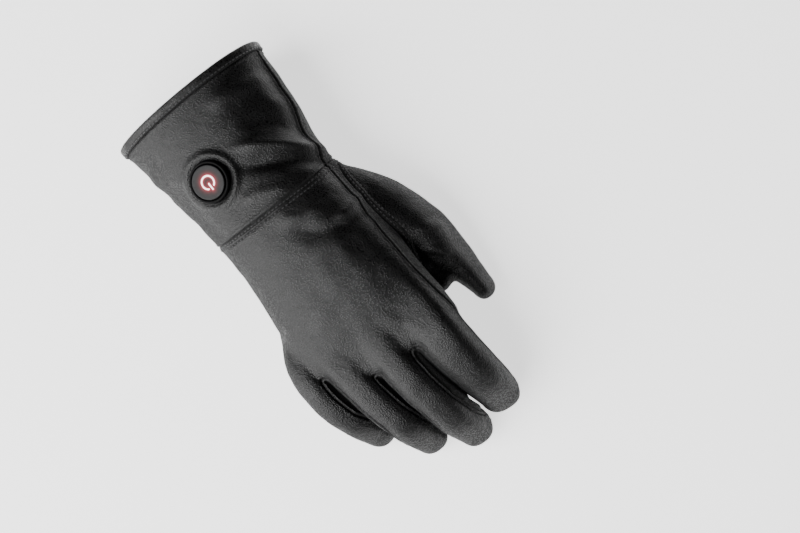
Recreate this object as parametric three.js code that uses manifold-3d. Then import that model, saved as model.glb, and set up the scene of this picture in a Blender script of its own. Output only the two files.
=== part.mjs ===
// Heated leather glove for the right hand, lying palm down as if still filled by the hand.
// Millimetres, +Z up. Fingers point along +Y, the thumb lies on the -X side, and the
// underside of the cuff, the fingertips and the thumb touch the surface z = 0.
import * as THREE from 'three';
import { mergeVertices } from 'three/addons/utils/BufferGeometryUtils.js';
import Module from 'manifold-3d';

const wasm = await Module();
wasm.setup();

// Lengths along the hand
const CUFF_LENGTH = 86;
const PALM_LENGTH = 114;
const INDEX_LENGTH = 74;
const MIDDLE_LENGTH = 78;
const RING_LENGTH = 75.5;
const LITTLE_LENGTH = 52;
const THUMB_LENGTH = 99;

// Widths and heights of the filled leather
const CUFF_WIDTH = 104;
const CUFF_HEIGHT = 62;
const WRIST_WIDTH = 88;
const WRIST_HEIGHT = 52;
const PALM_WIDTH = 98;
const PALM_HEIGHT = 37;
const PALM_LIFT = 40;
const INDEX_WIDTH = 29;
const MIDDLE_WIDTH = 24;
const RING_WIDTH = 22;
const LITTLE_WIDTH = 19;
const FINGER_THICKNESS = 26;
const FINGER_SPACE = 3;
const FINGERTIP_ROUND = 12;
const THUMB_WIDTH = 33;
const THUMB_THICKNESS = 27;
const THUMBTIP_ROUND = 9;
const CROTCH_ROUND = 9;

// Leather, seams and trim
const LEATHER = 2.2;
const CLEARANCE = 0.3;
const FOURCHETTE_HEIGHT = 15;
const FORK_DEPTH = 5;
const STRIP_OVERLAP = 1;
const WRIST_SEAM_RISE = 5;
const BINDING_WIDTH = 5.2;
const BINDING_LEATHER = 1;
const PATCH_LEATHER = 1;
const PATCH_LENGTH = 66;
const PATCH_WIDTH = 50;
const GATHER_FROM_SEAM = 13;
const GATHER_LENGTH = 16;
const GATHER_DEPTH = 1.1;
const GATHER_COUNT = 11;
const GATHER_SPAN = 62;
const GATHER_ACROSS = 3;

// Power button
const BUTTON_FROM_HEM = 53.7;
const BUTTON_ACROSS = 19.6;
const PAD_DIAMETER = 35;
const PAD_LEATHER = 1.8;
const BEZEL_DIAMETER = 25.6;
const BEZEL_WALL = 1.9;
const BEZEL_PROUD = 3.4;
const BEZEL_SUNK = 3;
const BEZEL_FLOOR = 1.5;
const CAP_PROUD = 4.2;
const CAP_EDGE = 0.7;
const PRESS_TRAVEL = 1;
const SYMBOL_DIAMETER = 9;
const SYMBOL_STROKE = 1.1;
const SYMBOL_OPENING = 62;
const SYMBOL_BAR = 4.6;
const SYMBOL_DEPTH = 0.5;
const SYMBOL_PROUD = 0.15;

// Zip pocket on the palm side of the cuff
const ZIP_FROM_HEM = 24.5;
const ZIP_LENGTH = 88;
const ZIP_OPENING = 8.5;
const ZIP_TAPE_WIDTH = 17;
const ZIP_TAPE_THICKNESS = 0.8;
const ZIP_TEETH_WIDTH = 4.4;
const ZIP_TEETH_THICKNESS = 1.5;
const SLIDER_LENGTH = 8.5;
const SLIDER_WIDTH = 6.4;
const SLIDER_PROUD = 1.3;
const SLIDER_SUNK = 1.8;
const SLIDER_ACROSS = 38;
const BAIL_THICKNESS = 0.9;
const BAIL_WIDTH = 1.6;
const PULL_LENGTH = 21;
const PULL_WIDTH = 6;
const PULL_THICKNESS = 1;
const PULL_ARM = 1.1;
const PULL_SPREAD = 75;
const PULL_SWING = 14;

// Mesh steps round and along the lofts
const TRUNK_SIDES = 24;
const LIMB_SIDES = 12;
const LIMB_STEPS = 8;
const ROUND_SIDES = 24;
const INNER_TRUNK_SIDES = 18;
const INNER_LIMB_SIDES = 8;
const INNER_LIMB_STEPS = 6;

// Derived lengths
const KNUCKLE_Y = CUFF_LENGTH + PALM_LENGTH;
const FAR = 3 * (CUFF_LENGTH + PALM_LENGTH + MIDDLE_LENGTH);
const SEAM = CLEARANCE / 2;

// Trunk sections. along is a share of the cuff from the hem, or of the palm from the wrist
// seam. across and half are shares of the width, lift of the rise, top and bottom of the height.
const CUFF = { start: 0, length: CUFF_LENGTH, width: CUFF_WIDTH, height: CUFF_HEIGHT, rise: CUFF_HEIGHT };
const WRIST = { start: CUFF_LENGTH, length: PALM_LENGTH, width: WRIST_WIDTH, height: WRIST_HEIGHT, rise: PALM_LIFT };
const PALM = { start: CUFF_LENGTH, length: PALM_LENGTH, width: PALM_WIDTH, height: PALM_HEIGHT, rise: PALM_LIFT };
const TRUNK = [
  { zone: CUFF, along: 0, across: 0.007, lift: 0.5, half: 0.503, top: 0.5, bottom: 0.479, roll: 8, power: 2.15 },
  { zone: CUFF, along: 0.23, across: -0.003, lift: 0.5, half: 0.487, top: 0.5, bottom: 0.516, roll: 8, power: 2.2 },
  { zone: CUFF, along: 0.523, across: -0.01, lift: 0.508, half: 0.4595, top: 0.484, bottom: 0.526, roll: 9, power: 2.3 },
  { zone: CUFF, along: 0.79, across: -0.01, lift: 0.524, half: 0.429, top: 0.468, bottom: 0.46, roll: 9, power: 2.3 },
  { zone: WRIST, along: 0, across: -0.017, lift: 0.85, half: 0.493, top: 0.548, bottom: 0.462, roll: 10, power: 2.3 },
  { zone: WRIST, along: 0.21, across: -0.028, lift: 0.9, half: 0.494, top: 0.51, bottom: 0.423, roll: 11, power: 2.4 },
  { zone: PALM, along: 0.474, across: -0.02, lift: 0.95, half: 0.469, top: 0.635, bottom: 0.54, roll: 12, power: 2.5 },
  { zone: PALM, along: 0.719, across: 0, lift: 0.9875, half: 0.495, top: 0.5135, bottom: 0.4865, roll: 12, power: 2.7 },
  { zone: PALM, along: 0.912, across: 0, lift: 1, half: 0.5, top: 0.4054, bottom: 0.4054, roll: 12, power: 2.9 },
  { zone: PALM, along: 1.22, across: 0, lift: 0.975, half: 0.5, top: 0.338, bottom: 0.338, roll: 12, power: 2.9 },
].map((r) => [
  r.zone.start + r.along * r.zone.length, r.across * r.zone.width, r.lift * r.zone.rise,
  r.half * r.zone.width, r.top * r.zone.height, r.bottom * r.zone.height, r.roll, r.power]);

// The line between the finger roots: across is a share of the palm width, along of its length.
const KNUCKLES = [
  { across: -0.306, along: 0.991 },
  { across: -0.163, along: 0.991 },
  { across: 0.122, along: 0.974 },
  { across: 0.367, along: 0.842 },
  { across: 0.571, along: 0.754 },
];

// Finger sections from the root to the tip. half is a share of the finger's width, space of
// FINGER_SPACE to the neighbour nearer the middle finger, along of the finger's length from
// start, itself a share of the palm. lift is a share of PALM_LIFT, top and bottom of the thickness.
const INDEX = {
  width: INDEX_WIDTH, length: INDEX_LENGTH, start: 0.825, rows: [
    { along: 0, space: 0.8, lift: 1.2, half: 0.545, top: 0.52, bottom: 0.54, roll: 13, power: 2.8 },
    { along: 0.486, space: 1, lift: 1.175, half: 0.4965, top: 0.52, bottom: 0.5, roll: 12, power: 2.8 },
    { along: 0.824, space: 0.8, lift: 0.88, half: 0.4586, top: 0.5, bottom: 0.46, roll: 10, power: 2.6 },
    { along: 0.986, space: 0.6, lift: 0.43, half: 0.424, top: 0.48, bottom: 0.44, roll: 8, power: 2.5 },
  ],
};
const MIDDLE = {
  width: MIDDLE_WIDTH, length: MIDDLE_LENGTH, start: 0.842, rows: [
    { along: 0, lean: -0.013, lift: 1.05, half: 0.5125, top: 0.52, bottom: 0.52, roll: 12, power: 2.9 },
    { along: 0.513, lean: -0.045, lift: 1.05, half: 0.4917, top: 0.5, bottom: 0.48, roll: 11, power: 2.8 },
    { along: 0.859, lean: -0.109, lift: 0.76, half: 0.475, top: 0.48, bottom: 0.46, roll: 8, power: 2.6 },
    { along: 1, lean: -0.147, lift: 0.315, half: 0.458, top: 0.46, bottom: 0.44, roll: 5, power: 2.5 },
  ],
};
const RING = {
  width: RING_WIDTH, length: RING_LENGTH, start: 0.754, rows: [
    { along: 0, space: 0.9, lift: 0.9125, half: 0.527, top: 0.5, bottom: 0.5, roll: 12, power: 2.9 },
    { along: 0.477, space: 1.15, lift: 0.925, half: 0.5, top: 0.48, bottom: 0.46, roll: 10, power: 2.8 },
    { along: 0.848, space: 1.1, lift: 0.725, half: 0.4818, top: 0.46, bottom: 0.44, roll: 8, power: 2.6 },
    { along: 1, space: 1, lift: 0.31, half: 0.4727, top: 0.44, bottom: 0.42, roll: 6, power: 2.5 },
  ],
};
const LITTLE = {
  width: LITTLE_WIDTH, length: LITTLE_LENGTH, start: 0.772, rows: [
    { along: 0, space: -0.2, lift: 0.79, half: 0.4947, top: 0.45, bottom: 0.42, roll: 14, power: 2.6 },
    { along: 0.385, space: 1.05, lift: 0.7625, half: 0.5, top: 0.44, bottom: 0.42, roll: 14, power: 2.6 },
    { along: 0.769, space: 1.25, lift: 0.6, half: 0.5158, top: 0.42, bottom: 0.4, roll: 12, power: 2.5 },
    { along: 1, space: 0.65, lift: 0.28, half: 0.5158, top: 0.4, bottom: 0.385, roll: 8, power: 2.4 },
  ],
};

// Thumb sections, and the web of leather between the thumb and the index finger. out and
// along are shares of the thumb's length, measured from the palm's thumb side and from start.
const THUMB = {
  start: 0.105, cap: THUMBTIP_ROUND, rows: [
    { out: 0.192, along: 0, lift: 0.8, half: 0.545, top: 0.593, bottom: 0.63, roll: -20, power: 2.4 },
    { out: 0.005, along: 0.263, lift: 0.7, half: 0.57, top: 0.593, bottom: 0.593, roll: -35, power: 2.4 },
    { out: -0.121, along: 0.5455, lift: 0.575, half: 0.503, top: 0.5, bottom: 0.5185, roll: -55, power: 2.4 },
    { out: -0.177, along: 0.808, lift: 0.4, half: 0.424, top: 0.333, bottom: 0.37, roll: -68, power: 2.4 },
    { out: -0.197, along: 1, lift: 0.3, half: 0.364, top: 0.222, bottom: 0.24, roll: -74, power: 2.4 },
  ],
};
const CROTCH = {
  start: 0.105, cap: 0.67 * CROTCH_ROUND, rows: [
    { out: 0.111, along: 0.505, lift: 0.65, half: 0.424, top: 0.333, bottom: 0.333, roll: 10, power: 2.2 },
    { out: 0.02, along: 0.707, lift: 0.65, half: 0.364, top: 0.26, bottom: 0.26, roll: 5, power: 2.2 },
    { out: -0.03, along: 0.838, lift: 0.625, half: 0.242, top: 0.204, bottom: 0.204, roll: 0, power: 2.2 },
  ],
};

// Creases pressed into the back of the wrist. across is a share of the wrist width, along of
// the cuff length from the hem, turn the crease's angle, length and spread shares of the width.
const CREASES = [
  { across: -0.34, along: 0.9, turn: 62, length: 0.3, spread: 0.05, depth: 1.1 },
  { across: -0.3, along: 1.12, turn: 118, length: 0.34, spread: 0.06, depth: 1.2 },
  { across: -0.18, along: 0.74, turn: 40, length: 0.3, spread: 0.06, depth: 0.9 },
  { across: 0.02, along: 1.16, turn: 100, length: 0.3, spread: 0.07, depth: 0.9 },
  { across: 0.3, along: 0.98, turn: 150, length: 0.22, spread: 0.06, depth: 0.8 },
];

// Smooth curve through rows of numbers, sampled evenly by the distance of their first columns.
function smoothRows(rows, count, axes = 3) {
  const place = [0];
  for (let i = 1; i < rows.length; i += 1) {
    let sum = 0;
    for (let k = 0; k < axes; k += 1) sum += (rows[i][k] - rows[i - 1][k]) ** 2;
    place.push(place[i - 1] + Math.sqrt(sum));
  }
  const last = rows.length - 1;
  const slope = (i, j, c) => (rows[j][c] - rows[i][c]) / (place[j] - place[i]);
  const tangent = rows.map((row, i) => row.map((_, c) => {
    if (i === 0) return slope(0, 1, c);
    if (i === last) return slope(last - 1, last, c);
    const before = place[i] - place[i - 1];
    const after = place[i + 1] - place[i];
    return (slope(i - 1, i, c) * after + slope(i, i + 1, c) * before) / (before + after);
  }));
  const result = [];
  for (let step = 0; step < count; step += 1) {
    const at = (place[last] * step) / (count - 1);
    let k = 0;
    while (k < last - 1 && place[k + 1] <= at) k += 1;
    const span = place[k + 1] - place[k];
    const u = (at - place[k]) / span;
    result.push(rows[k].map((_, c) => (
      (2 * u ** 3 - 3 * u ** 2 + 1) * rows[k][c] + (u ** 3 - 2 * u ** 2 + u) * span * tangent[k][c]
      + (-2 * u ** 3 + 3 * u ** 2) * rows[k + 1][c] + (u ** 3 - u ** 2) * span * tangent[k + 1][c])));
  }
  return result;
}

function lookUp(table, value) {
  const last = table.length - 1;
  if (value <= table[0][0]) return table[0].slice(1);
  if (value >= table[last][0]) return table[last].slice(1);
  let k = 0;
  while (table[k + 1][0] < value) k += 1;
  const u = (value - table[k][0]) / (table[k + 1][0] - table[k][0]);
  return table[k].slice(1).map((v, c) => v * (1 - u) + table[k + 1][c + 1] * u);
}

const TRUNK_TABLE = smoothRows(TRUNK, 120, 1);
const KNUCKLE_TABLE = KNUCKLES.map((k) => [k.across * PALM_WIDTH, CUFF_LENGTH + k.along * PALM_LENGTH]);
const knuckleLine = (x) => lookUp(KNUCKLE_TABLE, x)[0];

// A point of a rounded section: turn is the angle round it, 0 toward +side and 90 degrees up.
function sectionPoint(half, top, bottom, power, turn) {
  const height = Math.sin(turn) >= 0 ? top : bottom;
  const heading = Math.atan2(height * Math.sin(turn), half * Math.cos(turn));
  const cos = Math.cos(heading);
  const sin = Math.sin(heading);
  const reach = (Math.abs(cos / half) ** power + Math.abs(sin / height) ** power) ** (-1 / power);
  return [reach * cos, reach * sin];
}

// How deep the creases press at a place on the back of the wrist.
function creaseDepth(x, y) {
  let depth = 0;
  for (const c of CREASES) {
    const dx = x - c.across * WRIST_WIDTH;
    const dy = y - c.along * CUFF_LENGTH;
    const turn = THREE.MathUtils.degToRad(c.turn);
    const run = (dx * Math.cos(turn) + dy * Math.sin(turn)) / (c.length * WRIST_WIDTH);
    const off = (dy * Math.cos(turn) - dx * Math.sin(turn)) / (c.spread * WRIST_WIDTH);
    depth += c.depth * Math.exp(-(off ** 2) - (2 * run) ** 2);
  }
  return depth;
}

// A point on the trunk's leather, grown outward by grow, shrunk by share toward its middle.
function trunkPoint(y, turn, grow, share = 1) {
  const [cx, cz, half, top, bottom, roll, power] = lookUp(TRUNK_TABLE, y);
  let [s, u] = sectionPoint(half + grow, top + grow, bottom + grow, power, turn);
  if (u > 0) u -= creaseDepth(cx + s, y) * Math.min(1, (2 * u) / top);
  const r = THREE.MathUtils.degToRad(roll);
  return new THREE.Vector3(
    cx + share * (s * Math.cos(r) + u * Math.sin(r)), y,
    cz + share * (u * Math.cos(r) - s * Math.sin(r)));
}

// The same point moved along the hand, so that the trunk ends on the slanting knuckle line.
function shearedPoint(station, turn, grow, share = 1) {
  const start = CUFF_LENGTH + 0.45 * PALM_LENGTH;
  let y = station;
  let point = trunkPoint(y, turn, grow, share);
  for (let i = 0; i < 4; i += 1) {
    if (station > start) {
      const beyond = Math.max(0, station - KNUCKLE_Y);
      const part = Math.min(1, (station - start) / (KNUCKLE_Y - start));
      y = start + part * (knuckleLine(point.x) - start) + beyond;
    }
    point = trunkPoint(y, turn, grow, share);
  }
  return point;
}

// Closed solid through rings of points, with a point in the middle of each end.
function loft(rings, tip = null) {
  const count = rings[0].length;
  const points = rings.flat();
  const middle = (ring) => ring.reduce((sum, p) => sum.add(p), new THREE.Vector3()).divideScalar(count);
  const first = points.push(middle(rings[0])) - 1;
  const last = points.push(tip ?? middle(rings[rings.length - 1])) - 1;
  const index = [];
  for (let i = 0; i < rings.length - 1; i += 1) {
    for (let j = 0; j < count; j += 1) {
      const a = i * count + j;
      const b = i * count + ((j + 1) % count);
      index.push(a, b, b + count, a, b + count, a + count);
    }
  }
  const base = (rings.length - 1) * count;
  for (let j = 0; j < count; j += 1) {
    index.push((j + 1) % count, j, first);
    index.push(base + j, base + ((j + 1) % count), last);
  }
  const geometry = new THREE.BufferGeometry();
  geometry.setAttribute('position', new THREE.Float32BufferAttribute(points.flatMap((p) => p.toArray()), 3));
  geometry.setIndex(index);
  return geometry;
}

function solid(geometry) {
  const bare = geometry.clone();
  bare.deleteAttribute('normal');
  bare.deleteAttribute('uv');
  const merged = mergeVertices(bare, 1e-4);
  const vertProperties = new Float32Array(merged.attributes.position.array);
  const triVerts = new Uint32Array(merged.index.array);
  let volume = 0;
  for (let i = 0; i < triVerts.length; i += 3) {
    const [a, b, c] = [0, 1, 2].map((k) => new THREE.Vector3().fromArray(vertProperties, 3 * triVerts[i + k]));
    volume += a.dot(b.cross(c));
  }
  if (volume < 0) {
    for (let i = 0; i < triVerts.length; i += 3) [triVerts[i], triVerts[i + 1]] = [triVerts[i + 1], triVerts[i]];
  }
  return new wasm.Manifold(new wasm.Mesh({ numProp: 3, vertProperties, triVerts }));
}

const join = (parts) => parts.reduce((sum, part) => sum.add(part));

function block(x0, x1, y0, y1, z0, z1) {
  const box = new THREE.BoxGeometry(x1 - x0, y1 - y0, z1 - z0);
  box.translate((x0 + x1) / 2, (y0 + y1) / 2, (z0 + z1) / 2);
  return solid(box);
}

const above = (z) => block(-FAR, FAR, -FAR, FAR, z, FAR);

// The trunk's form, grown by grow, from in front of the hem to the finger roots.
function trunkForm(grow, sides = TRUNK_SIDES) {
  const rings = [];
  const ring = (station, share = 1) => {
    const points = [];
    for (let j = 0; j < sides; j += 1) points.push(shearedPoint(station, (2 * Math.PI * j) / sides, grow, share));
    return points;
  };
  const cuff = [-0.15, 0, 0.2, 0.4, 0.6, 0.8, 0.96];
  const palm = [0.1, 0.24, 0.4, 0.56, 0.78, 1];
  for (const along of cuff) rings.push(ring(along * CUFF_LENGTH));
  for (const along of palm) rings.push(ring(CUFF_LENGTH + along * PALM_LENGTH));
  const round = CROTCH_ROUND + grow;
  for (const part of [0.6, 0.92]) rings.push(ring(KNUCKLE_Y + part * round, (1 - part ** 2.9) ** (1 / 2.9)));
  const end = shearedPoint(KNUCKLE_Y + round, 0, grow, 0);
  return solid(loft(rings, end));
}

// Stations along a finger or thumb, each with its centre, directions and section sizes.
function limbStations(rows, steps = LIMB_STEPS) {
  const table = smoothRows(rows, steps);
  return table.map((row, i) => {
    const before = table[Math.max(0, i - 1)];
    const after = table[Math.min(steps - 1, i + 1)];
    const along = new THREE.Vector3(after[0] - before[0], after[1] - before[1], after[2] - before[2]).normalize();
    const flat = new THREE.Vector3(1, 0, 0).addScaledVector(along, -along.x).normalize();
    const lift = new THREE.Vector3().crossVectors(flat, along);
    const r = THREE.MathUtils.degToRad(row[6]);
    const side = flat.clone().multiplyScalar(Math.cos(r)).addScaledVector(lift, -Math.sin(r));
    const up = lift.clone().multiplyScalar(Math.cos(r)).addScaledVector(flat, Math.sin(r));
    const centre = new THREE.Vector3(row[0], row[1], row[2]);
    return { centre, along, side, up, half: row[3], top: row[4], bottom: row[5], power: row[7] };
  });
}

const placeAt = (st, s, u, w = 0) => st.centre.clone()
  .addScaledVector(st.side, s).addScaledVector(st.up, u).addScaledVector(st.along, w);

function limbForm(rows, cap, grow, sides = LIMB_SIDES, steps = LIMB_STEPS) {
  const stations = limbStations(rows, steps);
  const ring = (st, share, ahead) => {
    const points = [];
    for (let j = 0; j < sides; j += 1) {
      const [s, u] = sectionPoint(st.half + grow, st.top + grow, st.bottom + grow, st.power, (2 * Math.PI * j) / sides);
      points.push(placeAt(st, s * share, u * share, ahead));
    }
    return points;
  };
  const rings = stations.map((st) => ring(st, 1, 0));
  const tip = stations[stations.length - 1];
  const round = cap + grow;
  for (const part of [0.5, 0.85]) rings.push(ring(tip, (1 - part ** tip.power) ** (1 / tip.power), part * round));
  return solid(loft(rings, placeAt(tip, 0, 0, round)));
}

// Finger rows in millimetres: the middle finger leans, its neighbours stand beside it. The
// first row lies inside the palm, narrower and nearer its middle, so that the root blends in.
function fingerRows(finger, neighbour, direction) {
  const rootY = CUFF_LENGTH + finger.start * PALM_LENGTH;
  const rows = finger.rows.map((r, i) => {
    const half = r.half * finger.width;
    const x = neighbour
      ? neighbour[i + 1][0] + direction * (neighbour[i + 1][3] + half + r.space * FINGER_SPACE)
      : r.lean * finger.length;
    return [x, rootY + r.along * finger.length, r.lift * PALM_LIFT, half,
      r.top * FINGER_THICKNESS, r.bottom * FINGER_THICKNESS, r.roll, r.power];
  });
  const [x, y, z, half, top, bottom, roll, power] = rows[0];
  const buried = [0.88 * x, y - 0.3 * finger.length, 0.96 * z, 0.88 * half, 0.8 * top, 0.8 * bottom, roll, power];
  return [buried, ...rows];
}

function thumbRows(part) {
  const startY = CUFF_LENGTH + part.start * PALM_LENGTH;
  return part.rows.map((r) => [
    -PALM_WIDTH / 2 + r.out * THUMB_LENGTH, startY + r.along * THUMB_LENGTH, r.lift * PALM_LIFT,
    r.half * THUMB_WIDTH, r.top * THUMB_THICKNESS, r.bottom * THUMB_THICKNESS, r.roll, r.power]);
}

const middleRows = fingerRows(MIDDLE, null, 0);
const indexRows = fingerRows(INDEX, middleRows, -1);
const ringRows = fingerRows(RING, middleRows, 1);
const littleRows = fingerRows(LITTLE, ringRows, 1);
const FINGER_ROWS = [indexRows, middleRows, ringRows, littleRows];
const thumbLine = thumbRows(THUMB);
const crotchLine = thumbRows(CROTCH);

// Inside forms are shrunk by the leather and need fewer facets. All stay over the surface.
const floorFor = (grow) => above(Math.max(0, -grow));
const trunkSides = (grow) => (grow < -LEATHER / 2 ? INNER_TRUNK_SIDES : TRUNK_SIDES);
const limbSides = (grow) => (grow < -LEATHER / 2 ? INNER_LIMB_SIDES : LIMB_SIDES);
const limbSteps = (grow) => (grow < -LEATHER / 2 ? INNER_LIMB_STEPS : LIMB_STEPS);
const trunkOnly = (grow) => trunkForm(grow, trunkSides(grow)).intersect(floorFor(grow));
const handForm = (grow) => join([
  trunkForm(grow, trunkSides(grow)),
  ...FINGER_ROWS.map((rows) => limbForm(rows, FINGERTIP_ROUND, grow, limbSides(grow), limbSteps(grow))),
]).intersect(floorFor(grow));
const thumbForm = (grow) => join([
  limbForm(thumbLine, THUMB.cap, grow, limbSides(grow) + 2, limbSteps(grow)),
  limbForm(crotchLine, CROTCH.cap, grow, limbSides(grow) - 2, 4),
]).intersect(floorFor(grow));

// Closed solid between two sheets of points that have the same rows and columns.
function between(lower, upper) {
  const rows = lower.length;
  const cols = lower[0].length;
  const points = [...lower.flat(), ...upper.flat()];
  const at = (layer, i, j) => layer * rows * cols + i * cols + j;
  const index = [];
  const quad = (a, b, c, d) => index.push(a, b, c, a, c, d);
  for (let i = 0; i < rows - 1; i += 1) {
    for (let j = 0; j < cols - 1; j += 1) {
      quad(at(1, i, j), at(1, i + 1, j), at(1, i + 1, j + 1), at(1, i, j + 1));
      quad(at(0, i, j), at(0, i, j + 1), at(0, i + 1, j + 1), at(0, i + 1, j));
    }
    quad(at(0, i, 0), at(0, i + 1, 0), at(1, i + 1, 0), at(1, i, 0));
    quad(at(0, i + 1, cols - 1), at(0, i, cols - 1), at(1, i, cols - 1), at(1, i + 1, cols - 1));
  }
  for (let j = 0; j < cols - 1; j += 1) {
    quad(at(0, 0, j + 1), at(0, 0, j), at(1, 0, j), at(1, 0, j + 1));
    quad(at(0, rows - 1, j), at(0, rows - 1, j + 1), at(1, rows - 1, j + 1), at(1, rows - 1, j));
  }
  const geometry = new THREE.BufferGeometry();
  geometry.setAttribute('position', new THREE.Float32BufferAttribute(points.flatMap((p) => p.toArray()), 3));
  geometry.setIndex(index);
  return solid(geometry);
}

// The side seams follow the middle of the trunk and of each finger. Between the fingers they
// part by half the height of the side strips, on both sides of the middle.
const HALF_STRIP = FOURCHETTE_HEIGHT / 2;
const SIDE_REACH = [-1, -0.55, -0.4, -0.3, -0.1, 0.12, 0.37, 0.46, 0.57, 1].map((share) => share * PALM_WIDTH);
const isBetweenFingers = (s) => s > -0.35 * PALM_WIDTH && s < 0.5 * PALM_WIDTH;
const forkLine = (x) => knuckleLine(x) + CROTCH_ROUND - FORK_DEPTH;

function trunkSheet(levelOf, startOf, endOf, steps) {
  const sheet = [];
  for (let i = 0; i <= steps; i += 1) {
    sheet.push(SIDE_REACH.map((s) => {
      const y = startOf(s) + (i / steps) * (endOf(s) - startOf(s));
      const [cx, cz, , , , roll] = lookUp(TRUNK_TABLE, y);
      const r = THREE.MathUtils.degToRad(roll);
      const level = levelOf(s);
      return new THREE.Vector3(
        cx + s * Math.cos(r) + level * Math.sin(r), y, cz + level * Math.cos(r) - s * Math.sin(r));
    }));
  }
  return sheet;
}

function trunkRegion(levelOf, startOf, endOf, steps) {
  const lid = () => PALM_LIFT + PALM_HEIGHT;
  return between(trunkSheet(levelOf, startOf, endOf, steps), trunkSheet(lid, startOf, endOf, steps));
}

// The half of one finger above its seams. strips says on which sides a side strip runs, and
// sign puts the seam over (1) or under (-1) the strip.
function fingerRegion(rows, strips, sign, shift) {
  const stations = limbStations(rows, LIMB_STEPS + 2);
  const begin = forkLine(rows[1][0]) + shift - (sign > 0 ? FORK_DEPTH : 0);
  const used = [];
  stations.forEach((st, i) => {
    const part = i / (stations.length - 1);
    const taper = Math.min(1, Math.max(0, (0.96 - part) / 0.4));
    const [cx, cz, , , , roll] = lookUp(TRUNK_TABLE, st.centre.y);
    const trunkMiddle = cz - (st.centre.x - cx) * Math.tan(THREE.MathUtils.degToRad(roll));
    const meet = (trunkMiddle - st.centre.z) * Math.min(1, Math.max(0, 1.6 - 2.5 * part));
    if (st.centre.y > begin) used.push({ st, taper, meet });
  });
  const tip = stations[stations.length - 1];
  const ahead = (w) => ({ st: { ...tip, centre: placeAt(tip, 0, 0, w) }, taper: 0, meet: 0 });
  used.push(ahead(FINGERTIP_ROUND + 2 * STRIP_OVERLAP));
  const first = used[0].st;
  const back = (first.centre.y - begin) / first.along.y;
  used.unshift({ ...used[0], st: { ...first, centre: placeAt(first, 0, 0, -back) } });
  const lower = [];
  const upper = [];
  for (const { st, taper, meet } of used) {
    const wide = st.half + FINGER_SPACE / 3 - shift;
    const level = strips.map((strip) => (strip ? sign * HALF_STRIP * taper : 0) + shift + meet);
    lower.push([placeAt(st, -wide, level[0]), placeAt(st, 0, (level[0] + level[1]) / 2), placeAt(st, wide, level[1])]);
    upper.push([-wide, 0, wide].map((s) => placeAt(st, s, FINGER_THICKNESS)));
  }
  return between(lower, upper);
}

const STRIPS = [[false, true], [true, true], [true, true], [true, false]];

// Everything above the seams of the back (sign 1) or of the palm (sign -1), moved by shift.
function upperRegion(sign, shift) {
  const hem = () => -0.3 * CUFF_LENGTH;
  const fork = (x) => forkLine(x) - sign * shift;
  const crotch = (x) => knuckleLine(x) + CROTCH_ROUND + STRIP_OVERLAP - shift;
  const start = sign > 0 ? () => CUFF_LENGTH : (x) => forkLine(x) + shift;
  return join([
    trunkRegion(() => shift, hem, sign > 0 ? fork : (x) => forkLine(x) + FORK_DEPTH + STRIP_OVERLAP - shift, 9),
    trunkRegion((s) => shift + (isBetweenFingers(s) ? sign * HALF_STRIP : 0), start, crotch, 2),
    ...FINGER_ROWS.map((rows, i) => fingerRegion(rows, STRIPS[i], sign, shift)),
  ]);
}

// The space from the middle of one finger to the middle of the next, past the fork line.
function slotRegion(left, right) {
  const spine = (rows, y, off) => {
    const table = smoothRows(rows, 24).map((row) => [row[1], row[0]]);
    return lookUp(table, y)[0] + off;
  };
  const end = Math.max(left[left.length - 1][1], right[right.length - 1][1]) + FINGERTIP_ROUND;
  const start = Math.min(forkLine(left[1][0]), forkLine(right[1][0])) - FORK_DEPTH;
  const sheet = (z) => Array.from({ length: 13 }, (_, i) => {
    const y = start + (i / 12) * (end - start);
    const edges = [spine(left, y, SEAM), spine(right, y, -SEAM)];
    return edges.map((x) => new THREE.Vector3(x, y, z));
  });
  return between(sheet(-PALM_LIFT), sheet(3 * PALM_LIFT));
}

// The wrist seam leans toward the fingers on the back of the hand.
const SEAM_LEAN = 0.19;
const wristSeam = (z) => CUFF_LENGTH + SEAM_LEAN * (z - PALM_LIFT - WRIST_SEAM_RISE);
function beforeWrist(shift) {
  const sheet = (yOf) => [-PALM_LIFT, 3 * PALM_LIFT].map((z) => [-FAR, FAR].map((x) => new THREE.Vector3(x, yOf(z), z)));
  return between(sheet(() => -FAR), sheet((z) => wristSeam(z) + shift));
}

// The largest body of a cut solid, without crumbs left by a cut.
function largest(cut) {
  return cut.decompose().reduce((a, b) => (b.volume() > a.volume() ? b : a));
}

const model = new THREE.Group();
function addPiece(name, piece, material, group = model) {
  const { vertProperties, triVerts, numProp } = piece.getMesh();
  const geometry = new THREE.BufferGeometry();
  const points = numProp === 3 ? vertProperties : vertProperties.filter((_, i) => i % numProp < 3);
  geometry.setAttribute('position', new THREE.BufferAttribute(new Float32Array(points), 3));
  geometry.setIndex(new THREE.BufferAttribute(new Uint32Array(triVerts), 1));
  geometry.computeVertexNormals();
  const mesh = new THREE.Mesh(geometry, material);
  mesh.name = name;
  group.add(mesh);
  return mesh;
}

const leather = new THREE.MeshStandardMaterial({ name: 'leather', color: 0x17181a, roughness: 0.5, metalness: 0 });
const trim = new THREE.MeshStandardMaterial({ name: 'trim', color: 0x121314, roughness: 0.55, metalness: 0 });
const casing = new THREE.MeshStandardMaterial({ name: 'casing', color: 0x26272a, roughness: 0.35, metalness: 0 });
const rubber = new THREE.MeshStandardMaterial({ name: 'cap', color: 0x5a5b5e, roughness: 0.6, metalness: 0 });
const glow = new THREE.MeshStandardMaterial({ name: 'glow', color: 0xffd8dc, emissive: 0xff5560, roughness: 0.4, metalness: 0 });
const textile = new THREE.MeshStandardMaterial({ name: 'tape', color: 0x141415, roughness: 0.9, metalness: 0 });
const metal = new THREE.MeshStandardMaterial({ name: 'slider', color: 0x3a3b3d, roughness: 0.35, metalness: 0.9 });

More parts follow.
